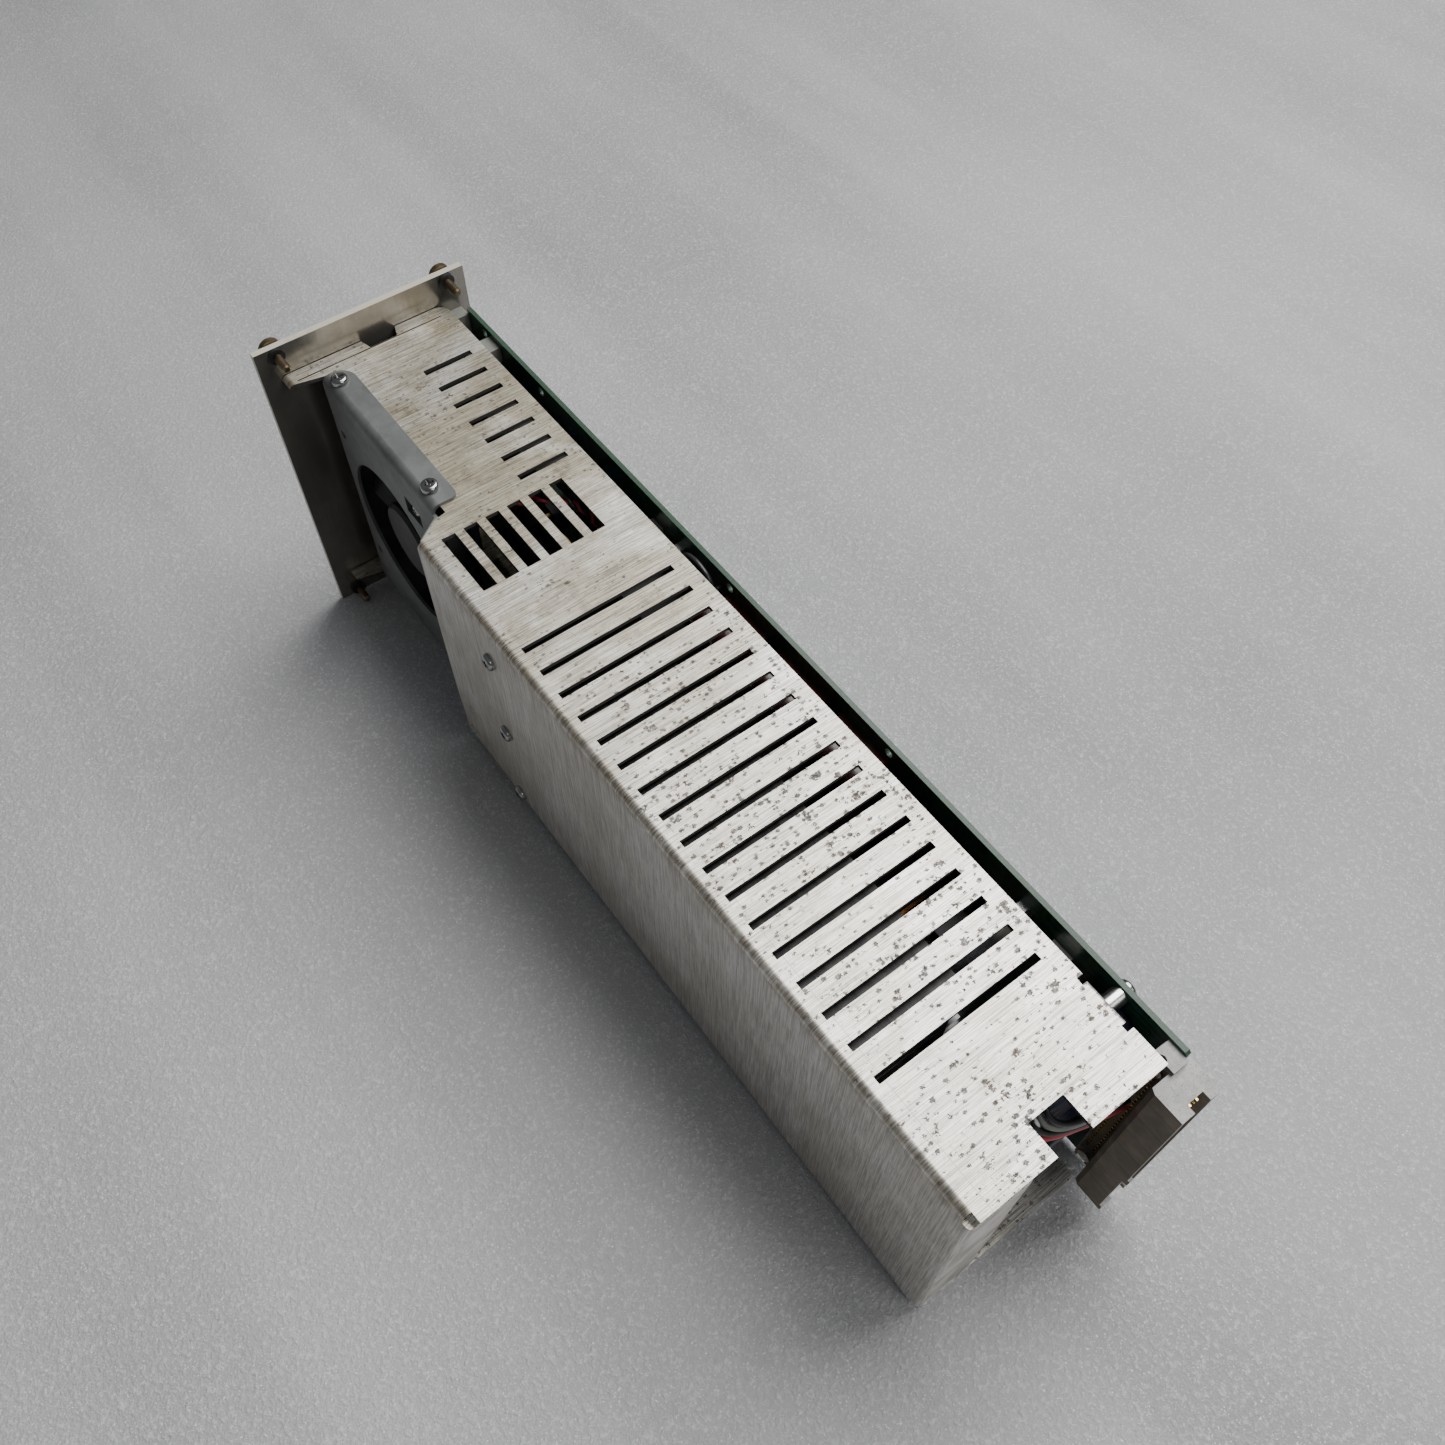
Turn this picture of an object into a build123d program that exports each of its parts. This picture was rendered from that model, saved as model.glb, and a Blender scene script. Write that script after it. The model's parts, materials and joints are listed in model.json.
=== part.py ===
"""Rack-mounted servo drive, 3U high and 16 HP wide.

Frame: +X towards the plain side of the case (fan side), +Y from the front
panel towards the rear connector, +Z up.  The origin is at the bottom centre
of the whole object.  All dimensions are in millimetres.
"""
from build123d import *
from math import cos, radians, sin, tan
import os

# ---------------------------------------------------------------- driving dimensions
# front panel, standard 3U x 16 HP plate
PANEL_W = 80.98
PANEL_H = 128.4
PANEL_T = 2.5
SCREW_INSET_X = 7.47
SCREW_INSET_Z = 2.95
SCREW_HEAD_R = 4.0
SCREW_HEAD_L = 2.8
SCREW_R = 1.5
SCREW_NECK_R = 1.15
SCREW_REACH = 9.0
RETAINER_T = 1.4

# folded aluminium case, open on the circuit-board side
CASE_W = 64.5
CASE_H = 104.5
CASE_L = 350.0
CASE_SIDE_INSET = 6.5
SHEET = 1.5
BEND_R = 2.5
PANEL_GAP = 0.3

# ventilation in the top and bottom sheets, measured from the plain side and the panel
SLOT_W = 2.4
LONG_SLOT_COUNT = 17
LONG_SLOT_PITCH = 10.05
LONG_SLOT_START = 149.8
LONG_SLOT_NEAR = 4.7
LONG_SLOT_FAR = 59.0
SHORT_SLOT_COUNT = 7
SHORT_SLOT_PITCH = 10.2
SHORT_SLOT_START = 28.1
SHORT_SLOT_NEAR = 40.8
SHORT_SLOT_FAR = 59.3
WINDOW_COUNT = 6
WINDOW_PITCH = 7.95
WINDOW_W = 4.9
WINDOW_L = 25.7
WINDOW_NEAR = 7.2
WINDOW_START = 97.5

# fan and the recess that it draws air from
RECESS_DEPTH = 10.7
RECESS_FRONT = 6.0
RECESS_REAR = 89.0
BRACKET_T = 1.2
FAN_SIZE = 70.0
FAN_DEPTH = 15.0
FAN_HOLE_R = 31.5
FAN_CENTRE_Y = 45.7
FAN_DUCT_R = 32.5
FAN_PITCH = 61.5
FAN_HUB_R = 15.0
FAN_BLADES = 7

# main circuit board, beside the open side of the case
BOARD_T = 1.6
BOARD_H = 100.0
BOARD_GAP = 6.5
BOARD_FRONT = 4.6
BOARD_REAR = 351.2

# rear connector, two rows of 32 contacts
CONN_W = 14.6
CONN_L = 84.0
CONN_TOP_DROP = 5.5
CONN_FRONT = 351.4
CONN_REAR = 362.0
CONN_LUG = 0.8
CONTACT_COUNT = 32
CONTACT_PITCH = 2.54

# black finned heatsink
SINK_FRONT = 130.0
SINK_REAR = 304.0
SINK_BASE_X = -6.0
SINK_BASE_T = 5.0
FIN_COUNT = 11
FIN_T = 2.0

# furthest reach of the front connectors, and radial play of turning parts
FRONT_REACH = 8.6
RUNNING_FIT = 0.07

# ---------------------------------------------------------------- places worked out from them
PANEL_BACK = (FRONT_REACH - CONN_REAR - CONN_LUG) / 2
PANEL_FRONT = PANEL_BACK - PANEL_T
PANEL_BOTTOM = SCREW_HEAD_R - SCREW_INSET_Z
MID_Z = PANEL_BOTTOM + PANEL_H / 2
SIDE_X = PANEL_W / 2 - CASE_SIDE_INSET
OPEN_X = SIDE_X - CASE_W
CASE_TOP = MID_Z + CASE_H / 2
CASE_BOTTOM = MID_Z - CASE_H / 2
INNER_TOP = CASE_TOP - SHEET
INNER_BOTTOM = CASE_BOTTOM + SHEET
INNER_SIDE = SIDE_X - SHEET
BOARD_INNER_X = OPEN_X - BOARD_GAP
BOARD_OUTER_X = BOARD_INNER_X - BOARD_T
PLATE_X = SIDE_X - RECESS_DEPTH
FAN_FRONT_X = PLATE_X - BRACKET_T
FAN_BACK_X = FAN_FRONT_X - FAN_DEPTH
SCREW_XS = (PANEL_W / 2 - SCREW_INSET_X, -PANEL_W / 2 + SCREW_INSET_X)
SCREW_ZS = (PANEL_BOTTOM + PANEL_H - SCREW_INSET_Z, PANEL_BOTTOM + SCREW_INSET_Z)


def back(distance):
    """Y of a point that lies this far behind the front panel's rear face."""
    return PANEL_BACK + distance


def inboard(distance):
    """X of a point that lies this far inside the plain side's outer face."""
    return SIDE_X - distance


def facing_rear(y):
    """Sketch plane at y with local x along X and local y along Z; its normal points to the front."""
    return Plane.XZ.offset(-y)


def write(part, name):
    part.label = name
    export_step(part, f"parts/{name}.step")


def box(x0, x1, y0, y1, z0, z1):
    """Free solid between two corners, for groups of plain blocks."""
    size = (abs(x1 - x0), abs(y1 - y0), abs(z1 - z0))
    return Pos((x0 + x1) / 2, (y0 + y1) / 2, (z0 + z1) / 2) * Box(*size)


def rod_x(x0, x1, y, z, radius):
    """Free cylinder along X."""
    return Pos((x0 + x1) / 2, y, z) * Rot(0, 90, 0) * Cylinder(radius, abs(x1 - x0))


def group(solids, name):
    """Write several separate solids as one node."""
    write(Compound(children=solids), name)


def pan_head_screw_z(x, y, z, radius, height, shank_r, shank_l, up=1):
    """Pan-head screw with a cross recess, head outwards along Z from the face at z."""
    plane = Plane(origin=(x, y, z), x_dir=(1, 0, 0), z_dir=(0, 0, up))
    with BuildPart() as screw:
        with BuildSketch(plane):
            Circle(radius)
        extrude(amount=height)
        fillet(screw.edges().sort_by(Axis.Z)[-1 if up > 0 else 0], height * 0.6)
        with BuildSketch(plane.offset(height)):
            Rectangle(radius * 1.1, radius * 0.26)
            Rectangle(radius * 0.26, radius * 1.1)
        extrude(amount=-height * 0.45, mode=Mode.SUBTRACT)
        with BuildSketch(plane):
            Circle(shank_r)
        extrude(amount=-shank_l)
    return screw.part


def pan_head_screw_x(x, y, z, radius, height, shank_r, shank_l, out=1):
    """Pan-head screw with a cross recess, head outwards along X from the face at x."""
    plane = Plane(origin=(x, y, z), x_dir=(0, 1, 0), z_dir=(out, 0, 0))
    with BuildPart() as screw:
        with BuildSketch(plane):
            Circle(radius)
        extrude(amount=height)
        fillet(screw.edges().sort_by(Axis.X)[-1 if out > 0 else 0], height * 0.6)
        with BuildSketch(plane.offset(height)):
            Rectangle(radius * 1.1, radius * 0.26)
            Rectangle(radius * 0.26, radius * 1.1)
        extrude(amount=-height * 0.45, mode=Mode.SUBTRACT)
        with BuildSketch(plane):
            Circle(shank_r)
        extrude(amount=-shank_l)
    return screw.part


os.makedirs("parts", exist_ok=True)

# ================================================================ front panel and its screws
HOLE_R = 1.9
DSUB_X = -19.0
ENCODER_Z = MID_Z - 19.0
ENCODER_L = 39.1
SERIAL_Z = MID_Z + 24.0
SERIAL_L = 30.8
DSUB_W = 12.5
CONTROL_X = -3.0
LED_ZS = [MID_Z + 40.0 - 6.0 * k for k in range(4)]
TRIMMER_ZS = [MID_Z + 8.0 - 9.0 * k for k in range(3)]
BUTTON_Z = MID_Z - 26.0
BUTTON_R = 2.4
TRIMMER_R = 1.6
LED_R = 1.5
CORNERS = [(x, z) for x in SCREW_XS for z in SCREW_ZS]
JACK_ZS = [
    ENCODER_Z - ENCODER_L / 2 + 3.0,
    ENCODER_Z + ENCODER_L / 2 - 3.0,
    SERIAL_Z - SERIAL_L / 2 + 3.0,
    SERIAL_Z + SERIAL_L / 2 - 3.0,
]

with BuildPart() as front_panel:
    with BuildSketch(facing_rear(PANEL_BACK)):
        with Locations((0, MID_Z)):
            Rectangle(PANEL_W, PANEL_H)
    extrude(amount=PANEL_T)
    with BuildSketch(facing_rear(PANEL_BACK)):
        with Locations(*CORNERS):
            Circle(HOLE_R)
        with Locations(*[(DSUB_X, z) for z in JACK_ZS]):
            Circle(1.8)
        with Locations((DSUB_X, ENCODER_Z)):
            Rectangle(10.4, ENCODER_L - 12.0)
        with Locations((DSUB_X, SERIAL_Z)):
            Rectangle(10.4, SERIAL_L - 12.0)
        with Locations(*[(CONTROL_X, z) for z in LED_ZS]):
            Circle(LED_R + 0.15)
        with Locations(*[(CONTROL_X, z) for z in TRIMMER_ZS]):
            Circle(TRIMMER_R + 0.5)
        with Locations((CONTROL_X, BUTTON_Z)):
            Circle(BUTTON_R + 0.4)
    extrude(amount=PANEL_T, mode=Mode.SUBTRACT)
write(front_panel.part, "front_panel")

HEAD_GAP = 0.3
THREAD_START = RETAINER_T + 0.4
for x, z in CORNERS:
    height = "top" if z > MID_Z else "bottom"
    side = "right" if x > 0 else "left"
    head_back = PANEL_FRONT - HEAD_GAP
    with BuildPart() as captive_screw:
        with BuildSketch(facing_rear(head_back)):
            with Locations((x, z)):
                Circle(SCREW_HEAD_R)
        extrude(amount=SCREW_HEAD_L - HEAD_GAP)
        chamfer(captive_screw.edges().sort_by(Axis.Y)[0], 0.5)
        with BuildSketch(facing_rear(PANEL_FRONT - SCREW_HEAD_L)):
            with Locations((x, z)):
                Rectangle(SCREW_HEAD_R * 2.2, 1.0)
        extrude(amount=-1.1, mode=Mode.SUBTRACT)
        # slim neck through the panel and the retainer, then the thread
        with BuildSketch(facing_rear(head_back)):
            with Locations((x, z)):
                Circle(SCREW_NECK_R)
        extrude(amount=-(back(THREAD_START) - head_back))
        with BuildSketch(facing_rear(back(THREAD_START))):
            with Locations((x, z)):
                Circle(SCREW_R)
        extrude(amount=-(SCREW_REACH - THREAD_START))
        chamfer(captive_screw.edges().sort_by(Axis.Y)[-1], 0.5)
    write(captive_screw.part, f"captive_screw_{height}_{side}")

with BuildPart() as screw_retainers:
    with BuildSketch(facing_rear(PANEL_BACK)):
        with Locations(*CORNERS):
            Circle(2.9)
            Circle(SCREW_NECK_R + RUNNING_FIT, mode=Mode.SUBTRACT)
    extrude(amount=-RETAINER_T)
write(screw_retainers.part, "screw_retainers")

# ================================================================ folded case
TAB_FRONT = 322.9
TAB_REAR = 336.3
TAB_REACH = 9.0
RELIEF = 2.1
CUTOUT_NEAR = 27.0
CUTOUT_FAR = 38.6
CUTOUT_DEPTH = 10.0
RETURN_W = 20.0
NOTCH_DEPTH = 5.0
FOLD_LINE_Y = 4.9
SIDE_SCREW_Y = 134.0
SIDE_SCREW_ZS = [MID_Z + 33.8, MID_Z - 6.9, MID_Z - 46.4]
SIDE_HOLE_R = 1.55
TAB_Y = (TAB_FRONT + TAB_REAR) / 2
STANDOFF_DROP = 5.6
BRACKET_SCREW_X = inboard(15.1)
BRACKET_SCREW_YS = (back(15.4), back(77.1))
BRACKET_HOLE_R = 1.65
SIDE_RIVETS = ((104.0, CASE_TOP - 81.0), (101.0, CASE_TOP - 97.0))
SIDE_RIVET_R = 1.2


def slot_field(count, pitch, start, near, far):
    """Row of narrow slots across the case, one behind the other."""
    with Locations((inboard((near + far) / 2), back(start + pitch * (count - 1) / 2))):
        with GridLocations(0, pitch, 1, count):
            Rectangle(far - near, SLOT_W)


def window_field():
    """Row of wider openings that run along the case."""
    centre_x = inboard(WINDOW_NEAR + WINDOW_W / 2 + WINDOW_PITCH * (WINDOW_COUNT - 1) / 2)
    with Locations((centre_x, back(WINDOW_START + WINDOW_L / 2))):
        with GridLocations(WINDOW_PITCH, 0, WINDOW_COUNT, 1):
            Rectangle(WINDOW_W, WINDOW_L)


with BuildPart() as housing:
    with BuildSketch(facing_rear(back(PANEL_GAP))):
        with BuildLine():
            FilletPolyline(
                (OPEN_X, CASE_BOTTOM),
                (SIDE_X, CASE_BOTTOM),
                (SIDE_X, CASE_TOP),
                (OPEN_X, CASE_TOP),
                radius=BEND_R,
            )
            Line((OPEN_X, CASE_TOP), (OPEN_X, INNER_TOP))
            FilletPolyline(
                (OPEN_X, INNER_TOP),
                (INNER_SIDE, INNER_TOP),
                (INNER_SIDE, INNER_BOTTOM),
                (OPEN_X, INNER_BOTTOM),
                radius=BEND_R - SHEET,
            )
            Line((OPEN_X, INNER_BOTTOM), (OPEN_X, CASE_BOTTOM))
        make_face()
    extrude(amount=-(CASE_L - PANEL_GAP))
    # return flange across part of the rear opening
    with BuildSketch(facing_rear(back(CASE_L))):
        with Locations((SIDE_X - RETURN_W / 2 - SHEET / 2, MID_Z)):
            Rectangle(RETURN_W - SHEET, CASE_H - 8.0)
    extrude(amount=SHEET)
    # relief nicks where the rear fold meets the top and bottom folds
    for z in (CASE_TOP, CASE_BOTTOM):
        with BuildSketch(Plane.YZ.offset(SIDE_X + 0.5)):
            with Locations((back(CASE_L), z)):
                Rectangle(6.0, 8.0)
        extrude(amount=-2.8, mode=Mode.SUBTRACT)
    fillet(
        housing.edges().filter_by(Axis.Z).filter_by_position(Axis.X, SIDE_X - 0.1, SIDE_X + 0.1)
        .filter_by_position(Axis.Y, back(CASE_L) - 0.1, back(CASE_L) + 0.1),
        BEND_R - 0.6,
    )
    # recess for the fan, in the top and bottom sheets
    with BuildSketch(Plane.XY):
        with BuildLine():
            Polyline(
                (inboard(-1.0), back(RECESS_FRONT)),
                (inboard(0.8), back(RECESS_FRONT)),
                (inboard(RECESS_DEPTH + 3.4), back(RECESS_FRONT + 3.0)),
                (inboard(RECESS_DEPTH + 3.4), back(RECESS_REAR - 0.8)),
                (inboard(RECESS_DEPTH - 1.0), back(RECESS_REAR)),
                (inboard(1.5), back(RECESS_REAR + 5.4)),
                (inboard(-1.0), back(RECESS_REAR + 5.4)),
                close=True,
            )
        make_face()
    extrude(amount=CASE_TOP + 1.0, mode=Mode.SUBTRACT)
    # plain side starts behind the recess, with a slanted front edge
    with BuildSketch(Plane.YZ.offset(SIDE_X + 1.0)):
        with BuildLine():
            Polyline(
                (back(-1.0), CASE_TOP - SHEET),
                (back(RECESS_REAR + 1.0), CASE_TOP - SHEET),
                (back(RECESS_REAR + 1.0), CASE_TOP - 8.0),
                (back(RECESS_REAR + 7.0), CASE_BOTTOM + 6.0),
                (back(RECESS_REAR + 7.0), CASE_BOTTOM + SHEET),
                (back(-1.0), CASE_BOTTOM + SHEET),
                close=True,
            )
        make_face()
    extrude(amount=-(BEND_R + 1.5), mode=Mode.SUBTRACT)
    # ventilation
    with BuildSketch(Plane.XY):
        slot_field(LONG_SLOT_COUNT, LONG_SLOT_PITCH, LONG_SLOT_START, LONG_SLOT_NEAR, LONG_SLOT_FAR)
    extrude(amount=CASE_TOP + 1.0, mode=Mode.SUBTRACT)
    with BuildSketch(Plane.XY.offset(MID_Z)):
        slot_field(
            SHORT_SLOT_COUNT, SHORT_SLOT_PITCH, SHORT_SLOT_START, SHORT_SLOT_NEAR, SHORT_SLOT_FAR
        )
        window_field()
    extrude(amount=CASE_H, mode=Mode.SUBTRACT)
    # front edge of the top sheet: cable notch, rounded outer corner and fold line
    with BuildSketch(Plane.XY.offset(MID_Z)):
        with BuildLine():
            Polyline(
                (inboard(30.6), back(-1.0)),
                (inboard(32.2), back(NOTCH_DEPTH)),
                (inboard(42.7), back(NOTCH_DEPTH)),
                (inboard(44.8), back(-1.0)),
                close=True,
            )
        make_face()
    extrude(amount=CASE_H, mode=Mode.SUBTRACT)
    fillet(
        housing.edges().filter_by(Axis.Z).filter_by_position(Axis.X, OPEN_X - 0.1, OPEN_X + 0.1)
        .filter_by_position(Axis.Y, back(0.0), back(1.0)),
        4.5,
    )
    with BuildSketch(Plane.XY.offset(CASE_TOP)):
        with Locations(((OPEN_X + SIDE_X) / 2, back(FOLD_LINE_Y + 0.4))):
            Rectangle(CASE_W - 8.0, 0.5)
    extrude(amount=-0.5, mode=Mode.SUBTRACT)
    # rear edge of the top sheet
    with BuildSketch(Plane.XY.offset(MID_Z)):
        with Locations((inboard((CUTOUT_NEAR + CUTOUT_FAR) / 2), back(CASE_L))):
            Rectangle(CUTOUT_FAR - CUTOUT_NEAR, CUTOUT_DEPTH * 2)
    extrude(amount=CASE_H, mode=Mode.SUBTRACT)
    # bent-in tabs that carry the circuit board, each between two relief nicks
    with BuildSketch(Plane.XY):
        with Locations(
            (OPEN_X, back(TAB_FRONT - RELIEF / 2)), (OPEN_X, back(TAB_REAR + RELIEF / 2))
        ):
            Rectangle(RELIEF * 2, RELIEF)
    extrude(amount=CASE_TOP + 1.0, mode=Mode.SUBTRACT)
    for z, inward in ((CASE_TOP, -1), (CASE_BOTTOM, 1)):
        with BuildSketch(Plane.YZ.offset(OPEN_X)):
            with Locations((back(TAB_Y), z + inward * TAB_REACH / 2)):
                Rectangle(TAB_REAR - TAB_FRONT, TAB_REACH)
        extrude(amount=SHEET)
    for z in (CASE_TOP, CASE_BOTTOM):
        fillet(
            housing.edges().filter_by(Axis.Y).filter_by_position(Axis.X, OPEN_X - 0.1, OPEN_X + 0.1)
            .filter_by_position(Axis.Z, z - 0.1, z + 0.1)
            .filter_by_position(Axis.Y, back(TAB_FRONT), back(TAB_REAR)),
            1.3,
        )
    # screw holes
    with BuildSketch(Plane.YZ.offset(SIDE_X + 0.5)):
        with Locations(*[(back(SIDE_SCREW_Y), z) for z in SIDE_SCREW_ZS]):
            Circle(SIDE_HOLE_R)
        with Locations(*[(back(y), z) for y, z in SIDE_RIVETS]):
            Circle(SIDE_RIVET_R)
    extrude(amount=-SHEET * 2, mode=Mode.SUBTRACT)
    with BuildSketch(Plane.YZ.offset(OPEN_X - 0.5)):
        with Locations(
            (back(TAB_Y), CASE_TOP - STANDOFF_DROP), (back(TAB_Y), CASE_BOTTOM + STANDOFF_DROP)
        ):
            Circle(SIDE_HOLE_R)
    extrude(amount=SHEET * 2, mode=Mode.SUBTRACT)
    with BuildSketch(Plane.XY):
        with Locations(*[(BRACKET_SCREW_X, y) for y in BRACKET_SCREW_YS]):
            Circle(BRACKET_HOLE_R)
    extrude(amount=CASE_TOP + 1.0, mode=Mode.SUBTRACT)
write(housing.part, "housing")

with BuildPart() as panel_angles:
    # two angle brackets that tie the case sheets to the back of the panel
    for z, inward in ((INNER_TOP, -1), (INNER_BOTTOM, 1)):
        with BuildSketch(Plane.YZ.offset(inboard(58.0))):
            with Locations((back(5.5), z + inward * 0.75)):
                Rectangle(11.0, 1.5)
            with Locations((back(0.75), z + inward * 5.5)):
                Rectangle(1.5, 11.0)
        extrude(amount=10.0)
write(panel_angles.part, "panel_angles")

# ================================================================ fan bracket and fan
BRACKET_BEND_R = 2.0
FLANGE_INNER = 21.0
FLANGE_FRONT = 9.8
FLANGE_REAR = 85.0
PLATE_REAR = 87.4
POCKET_Y = 67.7
POCKET_Z = MID_Z + 36.5
POCKET_L = 10.5
POCKET_H = 7.0
POCKET_SINK = 1.9
POCKET_WALL = 1.0
FAN_Y = back(FAN_CENTRE_Y)
FAN_SCREW_R = 1.7
FAN_CORNERS = [
    (FAN_Y + FAN_PITCH / 2 * a, MID_Z + FAN_PITCH / 2 * b) for a in (-1, 1) for b in (-1, 1)
]

with BuildPart() as fan_bracket:
    with BuildSketch(facing_rear(back(FLANGE_FRONT))):
        with BuildLine():
            FilletPolyline(
                (inboard(FLANGE_INNER), CASE_BOTTOM - BRACKET_T),
                (PLATE_X, CASE_BOTTOM - BRACKET_T),
                (PLATE_X, CASE_TOP + BRACKET_T),
                (inboard(FLANGE_INNER), CASE_TOP + BRACKET_T),
                radius=BRACKET_BEND_R + BRACKET_T,
            )
            Line((inboard(FLANGE_INNER), CASE_TOP + BRACKET_T), (inboard(FLANGE_INNER), CASE_TOP))
            FilletPolyline(
                (inboard(FLANGE_INNER), CASE_TOP),
                (FAN_FRONT_X, CASE_TOP),
                (FAN_FRONT_X, CASE_BOTTOM),
                (inboard(FLANGE_INNER), CASE_BOTTOM),
                radius=BRACKET_BEND_R,
            )
            Line(
                (inboard(FLANGE_INNER), CASE_BOTTOM), (inboard(FLANGE_INNER), CASE_BOTTOM - BRACKET_T)
            )
        make_face()
    extrude(amount=-(FLANGE_REAR - FLANGE_FRONT))
    inner_corners = (
        fan_bracket.edges().filter_by(Axis.Z)
        .filter_by_position(Axis.X, inboard(FLANGE_INNER) - 0.1, inboard(FLANGE_INNER) + 0.1)
    )
    fillet(inner_corners.group_by(Axis.Y)[0], 6.5)
    fillet(
        fan_bracket.edges().filter_by(Axis.Z)
        .filter_by_position(Axis.X, inboard(FLANGE_INNER) - 0.1, inboard(FLANGE_INNER) + 0.1)
        .group_by(Axis.Y)[-1],
        2.5,
    )
    # the plate runs on past the flanges and turns out to meet the plain side
    with BuildSketch(Plane.XY.offset(CASE_BOTTOM + SHEET + 0.5)):
        with BuildLine():
            Polyline(
                (FAN_FRONT_X, back(FLANGE_REAR)),
                (PLATE_X, back(FLANGE_REAR)),
                (PLATE_X, back(PLATE_REAR - 1.0)),
                (inboard(2.2), back(RECESS_REAR + 3.2)),
                (inboard(2.2), back(RECESS_REAR + 4.6)),
                (FAN_FRONT_X, back(PLATE_REAR)),
                close=True,
            )
        make_face()
    extrude(amount=CASE_H - 2 * SHEET - 1.0)
    # air inlet, fan screw holes and the pocket round the earth screw
    with BuildSketch(Plane.YZ.offset(PLATE_X + 1.0)):
        with Locations((FAN_Y, MID_Z)):
            Circle(FAN_HOLE_R)
        with Locations(*FAN_CORNERS):
            Circle(FAN_SCREW_R)
        with Locations((back(POCKET_Y), POCKET_Z)):
            Rectangle(POCKET_L, POCKET_H)
    extrude(amount=-BRACKET_T - 2.0, mode=Mode.SUBTRACT)
    with BuildSketch(Plane.YZ.offset(FAN_FRONT_X)):
        with Locations((back(POCKET_Y), POCKET_Z)):
            Rectangle(POCKET_L + 2 * POCKET_WALL, POCKET_H + 2 * POCKET_WALL)
            Rectangle(POCKET_L, POCKET_H, mode=Mode.SUBTRACT)
    extrude(amount=-POCKET_SINK)
    with BuildSketch(Plane.YZ.offset(FAN_FRONT_X - POCKET_SINK)):
        with Locations((back(POCKET_Y), POCKET_Z)):
            Rectangle(POCKET_L, POCKET_H)
            Circle(1.3, mode=Mode.SUBTRACT)
    extrude(amount=POCKET_WALL)
    with BuildSketch(Plane.XY):
        with Locations(*[(BRACKET_SCREW_X, y) for y in BRACKET_SCREW_YS]):
            Circle(BRACKET_HOLE_R)
    extrude(amount=CASE_TOP + 5.0, mode=Mode.SUBTRACT)
write(fan_bracket.part, "fan_bracket")

bracket_screws = [
    pan_head_screw_z(BRACKET_SCREW_X, y, CASE_TOP + BRACKET_T, 3.1, 2.1, 1.5, 4.5)
    for y in BRACKET_SCREW_YS
] + [
    pan_head_screw_z(BRACKET_SCREW_X, y, CASE_BOTTOM - BRACKET_T, 3.1, 2.1, 1.5, 4.5, up=-1)
    for y in BRACKET_SCREW_YS
]
group(bracket_screws, "bracket_screws")

EARTH_FACE_X = FAN_FRONT_X - POCKET_SINK + POCKET_WALL
earth_screw = pan_head_screw_x(EARTH_FACE_X, back(POCKET_Y), POCKET_Z, 2.3, 1.6, 1.2, 0.9)
write(earth_screw, "earth_screw")

STATOR_R = 11.5
CUP_R = 13.2
HUB_FRONT_X = FAN_FRONT_X - 0.8
HUB_DEPTH = 9.0
MOTOR_BASE_T = 2.0
MOTOR_BASE_X = FAN_BACK_X + MOTOR_BASE_T
FAN_SHAFT_R = 1.5
BEARING_R = 3.0

with BuildPart() as fan_frame:
    with BuildSketch(Plane.YZ.offset(FAN_BACK_X)):
        with Locations((FAN_Y, MID_Z)):
            RectangleRounded(FAN_SIZE, FAN_SIZE, 4.0)
            Circle(FAN_DUCT_R, mode=Mode.SUBTRACT)
        with Locations(*FAN_CORNERS):
            Circle(2.1, mode=Mode.SUBTRACT)
    extrude(amount=FAN_DEPTH)
    # waist between the two mounting flanges
    with BuildSketch(Plane.YZ.offset(FAN_BACK_X + 3.0)):
        with Locations((FAN_Y, MID_Z)):
            Rectangle(FAN_SIZE + 2.0, FAN_SIZE + 2.0)
            Circle(FAN_DUCT_R + 1.4, mode=Mode.SUBTRACT)
    extrude(amount=FAN_DEPTH - 6.0, mode=Mode.SUBTRACT)
    # room for the bracket's pocket in the edge of the front flange
    with BuildSketch(Plane.YZ.offset(FAN_FRONT_X)):
        with Locations((back(POCKET_Y), POCKET_Z)):
            Rectangle(POCKET_L + 2 * POCKET_WALL + 0.4, POCKET_H + 2 * POCKET_WALL + 0.4)
    extrude(amount=-POCKET_SINK - 0.1, mode=Mode.SUBTRACT)
    # motor base on three struts
    with BuildSketch(Plane.YZ.offset(FAN_BACK_X)):
        with Locations((FAN_Y, MID_Z)):
            Circle(FAN_HUB_R - 0.5)
            with PolarLocations(FAN_HUB_R + 8.9, 3, start_angle=60):
                Rectangle(20.5, 4.0)
            Circle(BEARING_R, mode=Mode.SUBTRACT)
    extrude(amount=MOTOR_BASE_T)
write(fan_frame.part, "fan_frame")

with BuildPart() as fan_bearing:
    with BuildSketch(Plane.YZ.offset(FAN_BACK_X)):
        with Locations((FAN_Y, MID_Z)):
            Circle(BEARING_R)
            Circle(FAN_SHAFT_R + RUNNING_FIT, mode=Mode.SUBTRACT)
    extrude(amount=8.0)
write(fan_bearing.part, "fan_bearing")

with BuildPart() as fan_stator:
    with BuildSketch(Plane.YZ.offset(MOTOR_BASE_X)):
        with Locations((FAN_Y, MID_Z)):
            Circle(STATOR_R)
            Circle(BEARING_R, mode=Mode.SUBTRACT)
            with PolarLocations(STATOR_R, 4, start_angle=45):
                Rectangle(5.0, 2.0, mode=Mode.SUBTRACT)
    extrude(amount=7.0)
write(fan_stator.part, "fan_stator")


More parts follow.
